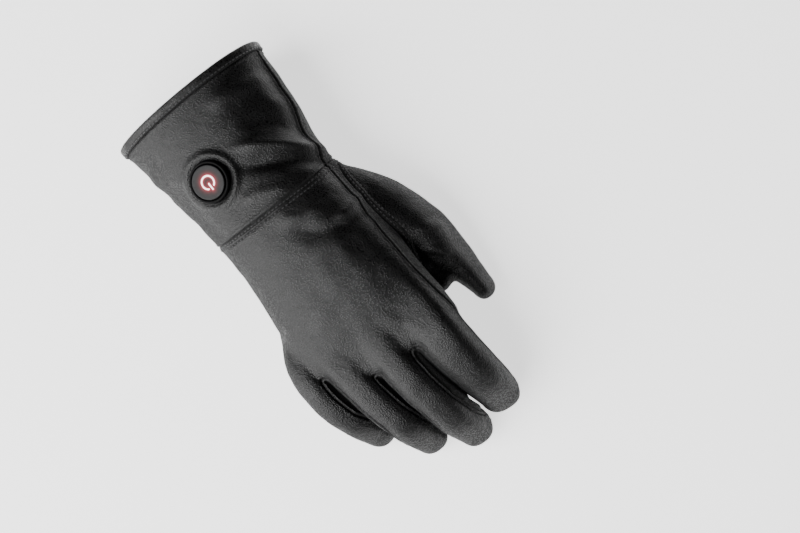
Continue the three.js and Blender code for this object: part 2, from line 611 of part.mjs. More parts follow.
// Leather shells
const handOuter = handForm(0);
const handInner = handForm(-LEATHER);
const thumbInner = thumbForm(-LEATHER);
const behindHem = (y) => block(-FAR, FAR, -FAR, y, -FAR, FAR);
const hemEdge = BINDING_LEATHER + CLEARANCE;
const shell = handOuter.subtract(handInner).subtract(thumbInner).subtract(behindHem(hemEdge));
const cuffShell = shell.intersect(beforeWrist(-SEAM));
const handShell = shell.subtract(beforeWrist(SEAM));
const overBack = upperRegion(1, SEAM);
const overPalm = upperRegion(-1, -SEAM).add(upperRegion(1, -SEAM));

// Local directions on the trunk's surface, over the place (across, along) on its upper or
// lower side: out of the leather, and along the section.
function surfaceFrame(across, along, side) {
  let low = side > 0 ? 0 : -Math.PI;
  let high = side > 0 ? Math.PI : 0;
  for (let i = 0; i < 40; i += 1) {
    const mid = (low + high) / 2;
    const beyond = trunkPoint(along, mid, 0).x > across;
    if (beyond === side > 0) low = mid; else high = mid;
  }
  const turn = (low + high) / 2;
  const step = 0.02;
  const round = trunkPoint(along, turn + step, 0).sub(trunkPoint(along, turn - step, 0)).normalize();
  const length = trunkPoint(along + 1, turn, 0).sub(trunkPoint(along - 1, turn, 0)).normalize();
  const out = new THREE.Vector3().crossVectors(length, round).normalize().negate();
  const point = trunkPoint(along, turn, 0);
  if (out.z * side < 0) out.negate();
  return { point, out, round, length };
}

// Power button, in a frame whose +Z is the press axis out of the leather and +Y runs to the fingers
const spot = surfaceFrame(BUTTON_ACROSS, BUTTON_FROM_HEM, 1);
const buttonX = new THREE.Vector3().crossVectors(new THREE.Vector3(0, 1, 0), spot.out).normalize();
const buttonY = new THREE.Vector3().crossVectors(spot.out, buttonX);
const button = new THREE.Group();
button.position.copy(spot.point);
button.quaternion.setFromRotationMatrix(new THREE.Matrix4().makeBasis(buttonX, buttonY, spot.out));
button.updateMatrixWorld(true);
model.add(button);
const inModel = (geometry, frame) => solid(geometry.clone().applyMatrix4(frame.matrixWorld));

const bezelRadius = BEZEL_DIAMETER / 2;
const wellRadius = bezelRadius - BEZEL_WALL;
const capRadius = wellRadius - CLEARANCE;
const capBottom = BEZEL_FLOOR - BEZEL_SUNK + CLEARANCE + PRESS_TRAVEL;
const turned = (profile) => {
  const geometry = new THREE.LatheGeometry(profile.map(([r, z]) => new THREE.Vector2(r, z)), ROUND_SIDES);
  return geometry.rotateX(Math.PI / 2);
};
const drum = (radiusLow, radiusHigh, low, high) => turned([[0, low], [radiusLow, low], [radiusHigh, high], [0, high]]);

const bezelForm = turned([
  [0, -BEZEL_SUNK], [bezelRadius, -BEZEL_SUNK], [bezelRadius, BEZEL_PROUD - 0.7], [bezelRadius - 0.7, BEZEL_PROUD],
  [wellRadius + 0.5, BEZEL_PROUD], [wellRadius, BEZEL_PROUD - 0.5], [wellRadius, BEZEL_FLOOR - BEZEL_SUNK], [0, BEZEL_FLOOR - BEZEL_SUNK],
]);
const capForm = turned([
  [0, capBottom], [capRadius, capBottom], [capRadius, CAP_PROUD - CAP_EDGE],
  [capRadius - 0.3 * CAP_EDGE, CAP_PROUD - 0.3 * CAP_EDGE], [capRadius - CAP_EDGE, CAP_PROUD], [0, CAP_PROUD],
]);
const buttonHole = inModel(drum(bezelRadius + CLEARANCE, bezelRadius + CLEARANCE, -PAD_DIAMETER / 2, PAD_DIAMETER / 2), button);
const padSlope = inModel(drum(PAD_DIAMETER / 2 + 1, PAD_DIAMETER / 2 - 1.2, -5, PAD_LEATHER + 1), button);
const padForm = trunkOnly(CLEARANCE + PAD_LEATHER).subtract(trunkOnly(CLEARANCE)).intersect(padSlope).subtract(buttonHole);

function arcShape(grow) {
  const outerRadius = SYMBOL_DIAMETER / 2 + grow;
  const innerRadius = SYMBOL_DIAMETER / 2 - SYMBOL_STROKE - grow;
  const half = THREE.MathUtils.degToRad(SYMBOL_OPENING / 2) - grow / innerRadius;
  const shape = new THREE.Shape();
  shape.absarc(0, 0, outerRadius, Math.PI / 2 + half, Math.PI / 2 + 2 * Math.PI - half, false);
  shape.absarc(0, 0, innerRadius, Math.PI / 2 + 2 * Math.PI - half, Math.PI / 2 + half, true);
  return shape;
}
function barShape(grow) {
  const half = SYMBOL_STROKE / 2 + grow;
  const high = SYMBOL_DIAMETER / 2 + 0.6 + grow;
  const low = SYMBOL_DIAMETER / 2 + 0.6 - SYMBOL_BAR - grow;
  const shape = new THREE.Shape();
  shape.moveTo(-half, low).lineTo(half, low).lineTo(half, high).lineTo(-half, high).closePath();
  return shape;
}
function raised(shape, low, high, curveSegments = 10) {
  const geometry = new THREE.ExtrudeGeometry(shape, { depth: high - low, bevelEnabled: false, curveSegments });
  return solid(geometry.translate(0, 0, low));
}
const symbolLow = CAP_PROUD + SYMBOL_PROUD - SYMBOL_DEPTH;
const recessLow = symbolLow - CLEARANCE;
const capSolid = solid(capForm)
  .subtract(raised(arcShape(CLEARANCE), recessLow, CAP_PROUD + 1))
  .subtract(raised(barShape(CLEARANCE), recessLow, CAP_PROUD + 1));

// Zip pocket: a window in the palm side of the cuff, tape behind it, teeth along its middle
const zipNear = ZIP_FROM_HEM - ZIP_OPENING / 2;
const zipFar = ZIP_FROM_HEM + ZIP_OPENING / 2;
const underside = (halfLength, near, far) => block(-halfLength, halfLength, near, far, -CUFF_HEIGHT, 0.42 * CUFF_HEIGHT);
const window = underside(ZIP_LENGTH / 2, zipNear, zipFar);
const tapeForm = trunkOnly(-LEATHER - CLEARANCE).subtract(trunkOnly(-LEATHER - CLEARANCE - ZIP_TAPE_THICKNESS))
  .intersect(underside(ZIP_LENGTH / 2 + 4, ZIP_FROM_HEM - ZIP_TAPE_WIDTH / 2, ZIP_FROM_HEM + ZIP_TAPE_WIDTH / 2));
const zipSpot = surfaceFrame(SLIDER_ACROSS, ZIP_FROM_HEM, -1);
const zipSide = new THREE.Vector3().crossVectors(new THREE.Vector3(0, 1, 0), zipSpot.out).normalize();
if (zipSide.x < 0) zipSide.negate();
const pullTurn = THREE.MathUtils.degToRad(PULL_SPREAD);
const pullWay = zipSide.clone().multiplyScalar(Math.cos(pullTurn)).add(new THREE.Vector3(0, Math.sin(pullTurn), 0)).normalize();
const pullAcross = new THREE.Vector3().crossVectors(zipSpot.out, pullWay);
const hardware = new THREE.Group();
hardware.position.copy(zipSpot.point);
hardware.quaternion.setFromRotationMatrix(new THREE.Matrix4().makeBasis(pullWay, pullAcross, zipSpot.out));
hardware.updateMatrixWorld(true);
model.add(hardware);

const bar = (x0, x1, y0, y1, z0, z1) => new THREE.BoxGeometry(x1 - x0, y1 - y0, z1 - z0)
  .translate((x0 + x1) / 2, (y0 + y1) / 2, (z0 + z1) / 2);
const sliderTurn = Math.atan2(new THREE.Vector3().crossVectors(pullWay, zipSide).dot(zipSpot.out), pullWay.dot(zipSide));
const sliderBlock = (grow) => bar(
  -SLIDER_LENGTH / 2 - grow, SLIDER_LENGTH / 2 + grow, -SLIDER_WIDTH / 2 - grow, SLIDER_WIDTH / 2 + grow,
  -SLIDER_SUNK - grow, SLIDER_PROUD + grow).rotateZ(sliderTurn);
const pinHeight = SLIDER_PROUD + 0.71 * PULL_THICKNESS + CLEARANCE + 0.15;
const bailUnder = pinHeight + 0.71 * PULL_THICKNESS + CLEARANCE;
const bailReach = 0.71 * PULL_THICKNESS + CLEARANCE + BAIL_THICKNESS + 0.4;
const bailForm = solid(bar(-bailReach, bailReach, -BAIL_WIDTH / 2, BAIL_WIDTH / 2, SLIDER_PROUD - 0.5, bailUnder + BAIL_THICKNESS))
  .subtract(solid(bar(BAIL_THICKNESS - bailReach, bailReach - BAIL_THICKNESS, -BAIL_WIDTH, BAIL_WIDTH, SLIDER_PROUD, bailUnder)));
const sliderForm = solid(sliderBlock(0)).add(bailForm);
const eyeFar = Math.hypot(bailReach, bailUnder + BAIL_THICKNESS - pinHeight) + CLEARANCE;
const eyeHalf = BAIL_WIDTH / 2 + CLEARANCE;
const pullShape = new THREE.Shape();
const tip = PULL_WIDTH / 2;
const neck = eyeHalf + PULL_ARM;
pullShape.moveTo(-PULL_THICKNESS / 2, -neck).lineTo(eyeFar + 1, -neck).lineTo(eyeFar + 2.5, -tip)
  .lineTo(PULL_LENGTH - tip, -tip).absarc(PULL_LENGTH - tip, 0, tip, -Math.PI / 2, Math.PI / 2, false)
  .lineTo(eyeFar + 2.5, tip).lineTo(eyeFar + 1, neck).lineTo(-PULL_THICKNESS / 2, neck).closePath();
const eye = new THREE.Path();
eye.moveTo(PULL_THICKNESS / 2, -eyeHalf).lineTo(PULL_THICKNESS / 2, eyeHalf).lineTo(eyeFar, eyeHalf).lineTo(eyeFar, -eyeHalf).closePath();
pullShape.holes.push(eye);
const pullForm = raised(pullShape, -PULL_THICKNESS / 2, PULL_THICKNESS / 2, 6);
const pull = new THREE.Group();
pull.position.set(0, 0, pinHeight);
pull.rotation.y = -THREE.MathUtils.degToRad(PULL_SWING);
hardware.add(pull);

const teethForm = trunkOnly(-0.4).subtract(trunkOnly(-0.4 - ZIP_TEETH_THICKNESS))
  .intersect(underside(ZIP_LENGTH / 2 - 1, ZIP_FROM_HEM - ZIP_TEETH_WIDTH / 2, ZIP_FROM_HEM + ZIP_TEETH_WIDTH / 2))
  .subtract(inModel(sliderBlock(CLEARANCE), hardware));

// Gathers: spindle-shaped furrows side by side over the elastic, under the wrist
const furrows = [];
for (let i = 0; i < GATHER_COUNT; i += 1) {
  const across = GATHER_SPAN * (i / (GATHER_COUNT - 1) - 0.5) + GATHER_ACROSS;
  const at = surfaceFrame(across, CUFF_LENGTH - GATHER_FROM_SEAM, -1);
  const spindle = new THREE.OctahedronGeometry(1);
  spindle.scale(0.42 * (GATHER_SPAN / GATHER_COUNT), GATHER_LENGTH / 2, GATHER_DEPTH);
  const turn = new THREE.Quaternion().setFromUnitVectors(new THREE.Vector3(0, 0, 1), at.out);
  spindle.applyQuaternion(turn).translate(...at.point.toArray());
  furrows.push(solid(spindle));
}

// Hem binding folded over the edge of the cuff
const bound = BINDING_LEATHER + CLEARANCE;
const bindingForm = trunkOnly(bound).subtract(trunkOnly(-LEATHER - bound))
  .intersect(block(-FAR, FAR, 0, BINDING_WIDTH, -FAR, FAR))
  .subtract(trunkOnly(CLEARANCE).subtract(trunkOnly(-LEATHER - CLEARANCE)).subtract(behindHem(BINDING_LEATHER)));

// Palm patch laid on the palm between the thumb and the heel of the hand
const patchStart = CUFF_LENGTH + 0.1 * PALM_LENGTH;
const patchSheet = (z) => [
  [0, -0.16, -0.02], [0.3, -0.42, 0.12], [0.62, -0.58, 0.2], [0.86, -0.6, 0.16], [1, -0.52, 0.04],
].map(([along, left, right]) => [left, right].map((share) => new THREE.Vector3(
  share * PATCH_WIDTH, patchStart + along * PATCH_LENGTH, z)));
const patchForm = trunkOnly(CLEARANCE + PATCH_LEATHER).subtract(handForm(CLEARANCE))
  .intersect(between(patchSheet(-PALM_LIFT), patchSheet(0.9 * PALM_LIFT)))
  .subtract(thumbForm(CLEARANCE));

addPiece('cuff_back', largest(cuffShell.intersect(overBack).subtract(buttonHole)), leather);
addPiece('cuff_palm', largest(cuffShell.subtract(overPalm).subtract(window).subtract(join(furrows))), leather);
addPiece('cuff_binding', largest(bindingForm), trim);
addPiece('hand_back', largest(handShell.intersect(overBack)), leather);
addPiece('hand_palm', largest(handShell.subtract(overPalm)), leather);
const stripRegion = upperRegion(-1, SEAM).subtract(upperRegion(1, -SEAM));
const stripShell = handShell.intersect(stripRegion);
['index_middle', 'middle_ring', 'ring_little'].forEach((name, i) => {
  const slot = slotRegion(FINGER_ROWS[i], FINGER_ROWS[i + 1]);
  addPiece(`fourchette_${name}`, largest(stripShell.intersect(slot)), leather);
});
addPiece('thumb', largest(thumbForm(0).subtract(thumbInner).subtract(handForm(CLEARANCE))), leather);
addPiece('palm_patch', largest(patchForm), leather);
addPiece('button_pad', largest(padForm), leather);
addPiece('button_bezel', solid(bezelForm), casing, button);
addPiece('button_cap', capSolid, rubber, button);
addPiece('power_arc', raised(arcShape(0), symbolLow, CAP_PROUD + SYMBOL_PROUD), glow, button);
addPiece('power_bar', raised(barShape(0), symbolLow, CAP_PROUD + SYMBOL_PROUD), glow, button);
addPiece('zip_tape', largest(tapeForm), textile);
addPiece('zip_teeth', largest(teethForm), metal);
addPiece('zip_slider', sliderForm, metal, hardware);
addPiece('zip_pull', pullForm, metal, pull);

// The origin lies under the middle of the glove, on the surface that it rests on.
model.updateMatrixWorld(true);
const bounds = new THREE.Box3().setFromObject(model, true);
model.position.set(-(bounds.min.x + bounds.max.x) / 2, -(bounds.min.y + bounds.max.y) / 2, -bounds.min.z);
model.updateMatrixWorld(true);

export default model;
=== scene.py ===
"""Heated leather glove, back of the hand up, resting on a pale surface.

The leather is one skin taken from a field of rounded sections, cut into its panels along the
seams, with folds, sewn grooves and threads pressed into it. Lengths are millimetres in the
pattern's own axes: X across the hand, Y from the hem to the fingers, Z up from the surface.
"""

import math

import bpy
import numpy as np
from mathutils import Matrix, Vector
from mathutils.kdtree import KDTree


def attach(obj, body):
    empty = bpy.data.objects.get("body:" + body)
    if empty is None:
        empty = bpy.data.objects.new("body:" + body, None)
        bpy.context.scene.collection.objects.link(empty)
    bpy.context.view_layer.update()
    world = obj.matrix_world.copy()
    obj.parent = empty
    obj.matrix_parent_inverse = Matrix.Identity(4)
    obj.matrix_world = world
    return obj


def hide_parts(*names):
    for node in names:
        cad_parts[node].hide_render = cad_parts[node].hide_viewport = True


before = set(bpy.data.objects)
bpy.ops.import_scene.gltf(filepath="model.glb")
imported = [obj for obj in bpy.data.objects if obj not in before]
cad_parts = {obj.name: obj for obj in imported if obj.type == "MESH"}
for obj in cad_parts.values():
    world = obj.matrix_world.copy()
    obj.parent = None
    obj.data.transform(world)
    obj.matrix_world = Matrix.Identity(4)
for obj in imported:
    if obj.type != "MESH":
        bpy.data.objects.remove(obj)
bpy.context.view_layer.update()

# Where the pattern's origin, the middle of the hem, lies in the frame
ORIGIN = np.array([10.174458, -136.286774, 0.0])
# Pitch of the grid that the leather is drawn from
STEP = 0.8

CUFF_LENGTH = 86.0
LEATHER = 2.2
TIP_ROUND = 12.0
THUMB_ROUND = 9.0
WEB_ROUND = 6.0
CROTCH_ROUND = 9.0
# The wrist seam leans over the hand with height, from this level
SEAM_LEAN = 0.19
SEAM_LEVEL = 45

# Trunk sections: along, across, up, half width, height above and below, roll, squareness
TRUNK = [
    (0, 0.73, 31, 52.3, 31, 29.7, 8, 2.15),
    (19.8, -0.31, 31, 50.6, 31, 32, 8, 2.2),
    (45, -1.04, 31.5, 47.8, 30, 32.6, 9, 2.3),
    (67.9, -1.04, 32.5, 44.6, 29, 28.5, 9, 2.3),
    (86, -1.5, 34, 43.4, 28.5, 24, 10, 2.3),
    (109.9, -2.46, 36, 43.5, 26.5, 22, 11, 2.4),
    (140, -1.96, 38, 46, 23.5, 20, 12, 2.5),
    (168, 0, 39.5, 48.5, 19, 18, 12, 2.7),
    (190, 0, 40, 49, 15, 15, 12, 2.9),
    (225.1, 0, 39, 49, 12.5, 12.5, 12, 2.9),
]
KNUCKLES = [(-30, 199), (-16, 199), (12, 197), (36, 182), (56, 172)]

# Finger and thumb sections: across, along, up, half width, height above and below, roll, squareness
INDEX = [
    (-31.5, 180.05, 48, 15.8, 13.5, 14, 13, 2.8),
    (-32.7, 216, 47, 14.4, 13.5, 13, 12, 2.8),
    (-35.6, 241, 35.2, 13.3, 13, 12, 10, 2.6),
    (-36.6, 253, 17.2, 12.3, 12.5, 11.4, 8, 2.5),
]
MIDDLE = [
    (-1, 182, 42, 12.3, 13.5, 13.5, 12, 2.9),
    (-3.5, 222, 42, 11.8, 13, 12.5, 11, 2.8),
    (-8.5, 249, 30.4, 11.4, 12.5, 12, 8, 2.6),
    (-11.5, 260, 12.6, 11, 12, 11.4, 5, 2.5),
]
RING = [
    (25.6, 172, 36.5, 11.6, 13, 13, 12, 2.9),
    (22.7, 208, 37, 11, 12.5, 12, 10, 2.8),
    (16.8, 236, 29, 10.6, 12, 11.4, 8, 2.6),
    (12.9, 247.5, 12.4, 10.4, 11.4, 10.9, 6, 2.5),
]
LITTLE = [
    (46, 174, 31.6, 9.4, 11.7, 10.9, 14, 2.6),
    (46.4, 194, 30.5, 9.5, 11.4, 10.9, 14, 2.6),
    (41, 214, 24, 9.8, 10.9, 10.4, 12, 2.5),
    (35.1, 226, 11.2, 9.8, 10.4, 10, 8, 2.4),
]
FINGER_LENGTHS = (74, 78, 75.5, 52)
THUMB = [
    (-30, 98, 32, 18, 16, 17, -20, 2.4),
    (-48.5, 124, 28, 18.8, 16, 16, -35, 2.4),
    (-61, 152, 23, 16.6, 13.5, 14, -55, 2.4),
    (-66.5, 178, 16, 14, 9, 10, -68, 2.4),
    (-68.5, 197, 12, 12, 6, 6.5, -74, 2.4),
]
WEB = [
    (-38, 148, 26, 14, 9, 9, 10, 2.2),
    (-47, 168, 26, 12, 7, 7, 5, 2.2),
    (-52, 181, 25, 8, 5.5, 5.5, 0, 2.2),
]


def metres(points):
    return (np.asarray(points, float) + ORIGIN) / 1000


# The form as a field of distances


# Added to a length where a way may have none
TINY = 1e-12


def unit(vectors, least=0.0):
    """The same directions, each 1 long."""
    return vectors / (np.linalg.norm(vectors, axis=-1, keepdims=True) + least)


def smooth_rows(rows, count, axes=3):
    """Smooth curve through rows of numbers, sampled evenly by the distance of their first columns."""
    rows = np.asarray(rows, float)
    place = np.concatenate([[0], np.cumsum(np.linalg.norm(np.diff(rows[:, :axes], axis=0), axis=1))])
    slope = np.diff(rows, axis=0) / np.diff(place)[:, None]
    tangent = np.zeros_like(rows)
    tangent[0], tangent[-1] = slope[0], slope[-1]
    before, after = np.diff(place)[:-1, None], np.diff(place)[1:, None]
    tangent[1:-1] = (slope[:-1] * after + slope[1:] * before) / (before + after)
    at = np.linspace(0, place[-1], count)
    k = np.clip(np.searchsorted(place, at, side="right") - 1, 0, len(place) - 2)
    span = (place[k + 1] - place[k])[:, None]
    u = ((at - place[k]) / span[:, 0])[:, None]
    return (
        (2 * u**3 - 3 * u**2 + 1) * rows[k]
        + (u**3 - 2 * u**2 + u) * span * tangent[k]
        + (-2 * u**3 + 3 * u**2) * rows[k + 1]
        + (u**3 - u**2) * span * tangent[k + 1]
    )


def smooth_min(a, b, reach):
    part = np.clip(0.5 + 0.5 * (b - a) / reach, 0, 1)
    return b * (1 - part) + a * part - reach * part * (1 - part)


def smooth_step(value, low, high):
    t = np.clip((value - low) / (high - low), 0, 1)
    return t * t * (3 - 2 * t)


def section_distance(s, u, half, top, bottom, power, ahead, cap):
    """Distance to a rounded section, and to its rounded end where ahead is over 0."""
    height = np.where(u > 0, top, bottom)
    a, b, c = np.abs(s) / half, np.abs(u) / height, np.maximum(ahead, 0) / cap
    total = a**power + b**power + c**power + 1e-9
    slope = total ** (1 / power - 1) * np.sqrt(
        (a ** (power - 1) / half) ** 2 + (b ** (power - 1) / height) ** 2 + (c ** (power - 1) / cap) ** 2
    )
    limit = np.sqrt(s**2 + u**2) + 5
    return np.clip((total ** (1 / power) - 1) / (slope + 1e-9), -limit, limit)


TRUNK_TABLE = smooth_rows(TRUNK, 200, 1)


def trunk_rows(y):
    return [np.interp(y, TRUNK_TABLE[:, 0], TRUNK_TABLE[:, i]) for i in range(1, 8)]


def knuckle_line(x):
    return np.interp(x, [k[0] for k in KNUCKLES], [k[1] for k in KNUCKLES])


def trunk_local(points):
    """Across and up in the rolled section of the trunk at each point."""
    x, y, z = points[..., 0], points[..., 1], points[..., 2]
    cx, cz, _, _, _, roll, _ = trunk_rows(y)
    r = np.radians(roll)
    return (x - cx) * np.cos(r) - (z - cz) * np.sin(r), (x - cx) * np.sin(r) + (z - cz) * np.cos(r)


def trunk_distance(points):
    s, u = trunk_local(points)
    _, _, half, top, bottom, _, power = trunk_rows(points[..., 1])
    return section_distance(
        s, u, half, top, bottom, power, points[..., 1] - knuckle_line(points[..., 0]), CROTCH_ROUND
    )


def trunk_point(y, turn, grow=0.0):
    """Point on the trunk's leather; turn is the angle round it, 0 to +X and 90 degrees up."""
    y, turn = np.broadcast_arrays(np.asarray(y, float), turn)
    cx, cz, half, top, bottom, roll, power = trunk_rows(y)
    half, top, bottom = half + grow, top + grow, bottom + grow
    height = np.where(np.sin(turn) >= 0, top, bottom)
    heading = np.arctan2(height * np.sin(turn), half * np.cos(turn))
    across, up = np.abs(np.cos(heading) / half), np.abs(np.sin(heading) / height)
    reach = (across**power + up**power) ** (-1 / power)
    s, u = reach * np.cos(heading), reach * np.sin(heading)
    r = np.radians(roll)
    return np.stack([cx + s * np.cos(r) + u * np.sin(r), y, cz + u * np.cos(r) - s * np.sin(r)], -1)


class Limb:
    """A finger, the thumb or the web: rounded sections along a curved line."""

    def __init__(self, rows, cap, stations=26):
        self.rows, self.cap = smooth_rows(rows, stations), cap
        self.centre = self.rows[:, :3]
        self.along = unit(np.gradient(self.centre, axis=0))
        flat = unit(np.array([1.0, 0, 0]) - self.along * self.along[:, :1])
        lift = np.cross(flat, self.along)
        roll = np.radians(self.rows[:, 6])[:, None]
        self.side = flat * np.cos(roll) - lift * np.sin(roll)
        self.up = lift * np.cos(roll) + flat * np.sin(roll)

    def spine(self, y):
        """Where the middle line lies across the hand, at these places along the hand."""
        return np.interp(y, self.centre[:, 1], self.centre[:, 0])

    def local(self, points):
        """Across, up, ahead of the ends, share of the length, and the section's sizes."""
        best = np.full(points.shape[:-1], 1e9)
        segment = np.zeros(points.shape[:-1], int)
        part = np.zeros(points.shape[:-1])
        for i in range(len(self.centre) - 1):
            d = self.centre[i + 1] - self.centre[i]
            t = (points - self.centre[i]) @ d / (d @ d)
            off = points - self.centre[i] - np.clip(t, 0, 1)[..., None] * d
            square = np.einsum("...i,...i", off, off)
            nearer = square < best
            best = np.where(nearer, square, best)
            segment = np.where(nearer, i, segment)
            part = np.where(nearer, t, part)
        f = np.clip(part, 0, 1)[..., None]

        def mix(values):
            return values[segment] * (1 - f) + values[segment + 1] * f

        off = points - mix(self.centre)
        s = np.einsum("...i,...i", off, mix(self.side))
        u = np.einsum("...i,...i", off, mix(self.up))
        w = np.einsum("...i,...i", off, mix(self.along))
        last = len(self.centre) - 2
        ahead = np.where((segment == last) & (part > 1), w, 0) + np.where((segment == 0) & (part < 0), -w, 0)
        share = (segment + np.clip(part, 0, 1)) / (last + 1)
        return s, u, ahead, share, mix(self.rows[:, 3:])

    def distance(self, points):
        s, u, ahead, _, rows = self.local(points)
        return section_distance(s, u, rows[..., 0], rows[..., 1], rows[..., 2], rows[..., 4], ahead, self.cap)


# A finger's root inside the palm: how far back as a share of its length, and its narrower section
ROOT_LENGTH = 0.3
ROOT_NARROWER = 0.88
ROOT_LOWER = 0.96
ROOT_THINNER = 0.8


def finger(rows, length):
    """A finger with a first row inside the palm, so that its root blends in."""
    x, y, z, half, top, bottom, roll, power = rows[0]
    place = (ROOT_NARROWER * x, y - ROOT_LENGTH * length, ROOT_LOWER * z)
    section = (ROOT_NARROWER * half, ROOT_THINNER * top, ROOT_THINNER * bottom, roll, power)
    return Limb([place + section, *rows], TIP_ROUND)


FINGERS = [finger(rows, length) for rows, length in zip((INDEX, MIDDLE, RING, LITTLE), FINGER_LENGTHS)]
THUMB_LIMB = Limb(THUMB, THUMB_ROUND)
WEB_LIMB = Limb(WEB, WEB_ROUND, 12)

# The grid's corners, how far a limb reaches from its middle line, and how many rows go at a time
GRID_LOW = np.array([-92.0, -6.0, -5.0])
GRID_HIGH = np.array([66.0, 278.0, 72.0])
LIMB_REACH = 30.0
SLAB = 24
# How softly each part runs into the rest
FINGER_BLEND = 2.5
THUMB_BLEND = 1
WEB_BLEND = 5
HAND_BLEND = 7


class Field:
    """Distances on a grid: the hand, the thumb and both together."""

    def __init__(self, step):
        self.step = step
        self.axes = [np.arange(a, b, step) for a, b in zip(GRID_LOW, GRID_HIGH)]
        shape = [len(a) for a in self.axes]
        across, along, up = self.axes
        self.hand = np.empty(shape, np.float32)
        for j in range(0, shape[1], SLAB):
            block = np.stack(np.meshgrid(across, along[j : j + SLAB], up, indexing="ij"), -1)
            self.hand[:, j : j + SLAB] = trunk_distance(block)
        for limb in FINGERS:
            self.blend(self.hand, limb, FINGER_BLEND)
        self.thumb = np.full(shape, LIMB_REACH, np.float32)
        self.blend(self.thumb, THUMB_LIMB, THUMB_BLEND)
        self.blend(self.thumb, WEB_LIMB, WEB_BLEND)
        both = smooth_min(self.hand, self.thumb, HAND_BLEND)
        self.both = np.maximum(both, -up[None, None, :]).astype(np.float32)

    def blend(self, values, limb, reach):
        low, high = limb.centre.min(0) - LIMB_REACH, limb.centre.max(0) + LIMB_REACH
        cut = [slice(*np.searchsorted(a, [low[i], high[i]])) for i, a in enumerate(self.axes)]
        axes = [a[c] for a, c in zip(self.axes, cut)]
        points = np.stack(np.meshgrid(*axes, indexing="ij"), -1)
        values[tuple(cut)] = smooth_min(values[tuple(cut)], limb.distance(points), reach)

    def sample(self, values, points):
        """Values between the grid's points."""
        at = (points - GRID_LOW) / self.step
        at = np.clip(at, 0, np.array(values.shape) - 1.001)
        base = at.astype(int)
        f = at - base
        out = np.zeros(len(points))
        for corner in range(8):
            c = [(corner >> k) & 1 for k in range(3)]
            weight = np.prod([f[:, k] if c[k] else 1 - f[:, k] for k in range(3)], axis=0)
            out += weight * values[base[:, 0] + c[0], base[:, 1] + c[1], base[:, 2] + c[2]]
        return out

    def gradient(self, values, points):
        h = 0.6 * self.step
        ahead = [self.sample(values, points + off) for off in h * np.eye(3)]
        behind = [self.sample(values, points - off) for off in h * np.eye(3)]
        return (np.stack(ahead, -1) - np.stack(behind, -1)) / (2 * h)


def surface_nets(values, low, step):
    """Triangles of the surface where the values are 0."""
    shape = np.array(values.shape)
    inside = values < 0
    corners = [(i, j, k) for i in (0, 1) for j in (0, 1) for k in (0, 1)]

    def part(array, c):
        return array[tuple(slice(c[k], shape[k] - 1 + c[k]) for k in range(3))]

    count = sum(part(inside, c).astype(np.int8) for c in corners)
    cells = np.argwhere((count > 0) & (count < 8))
    number = -np.ones(shape - 1, int)
    number[tuple(cells.T)] = np.arange(len(cells))
    place, hits = np.zeros((len(cells), 3)), np.zeros(len(cells))
    at = {c: values[tuple((cells + c).T)].astype(float) for c in corners}
    for c in corners:
        for axis in range(3):
            if c[axis]:
                continue
            other = tuple(1 if k == axis else c[k] for k in range(3))
            a, b = at[c], at[other]
            crossing = (a < 0) != (b < 0)
            spot = np.repeat(np.array(c, float)[None], len(cells), 0)
            spot[:, axis] += np.where(crossing, a / np.where(crossing, a - b, 1), 0)
            place[crossing] += spot[crossing]
            hits[crossing] += 1
    points = (cells + place / hits[:, None]) * step + low
    quads = []
    for axis in range(3):
        one, two = [(1, 2), (2, 0), (0, 1)][axis]
        cut = [slice(1, n - 1) for n in shape]
        cut[axis] = slice(0, shape[axis] - 1)
        ahead = list(cut)
        ahead[axis] = slice(1, shape[axis])
        crossing = np.argwhere(inside[tuple(cut)] != inside[tuple(ahead)])
        base = crossing + [c.start for c in cut]
        corner = []
        for d1, d2 in ((1, 1), (0, 1), (0, 0), (1, 0)):
            cell = base.copy()
            cell[:, one] -= d1
            cell[:, two] -= d2
            corner.append(number[tuple(cell.T)])
        quad = np.stack(corner, 1)
        outward = inside[tuple(base.T)]
        quad[~outward] = quad[~outward][:, ::-1]
        quads.append(quad)
    quads = np.concatenate(quads)
    a, b, c, d = points[quads].transpose(1, 0, 2)
    short = np.linalg.norm(a - c, axis=1) <= np.linalg.norm(b - d, axis=1)
    first = np.where(short[:, None], quads[:, [0, 1, 2]], quads[:, [0, 1, 3]])
    second = np.where(short[:, None], quads[:, [0, 2, 3]], quads[:, [1, 2, 3]])
    return points, np.concatenate([first, second])


# A skin of triangles with values at its points


def sums(index, rows, count):
    """Rows added up by index."""
    return np.stack([np.bincount(index, rows[:, k], count) for k in range(rows.shape[1])], -1)


def sides_of(faces):
    return np.concatenate([faces[:, [0, 1]], faces[:, [1, 2]], faces[:, [2, 0]]])


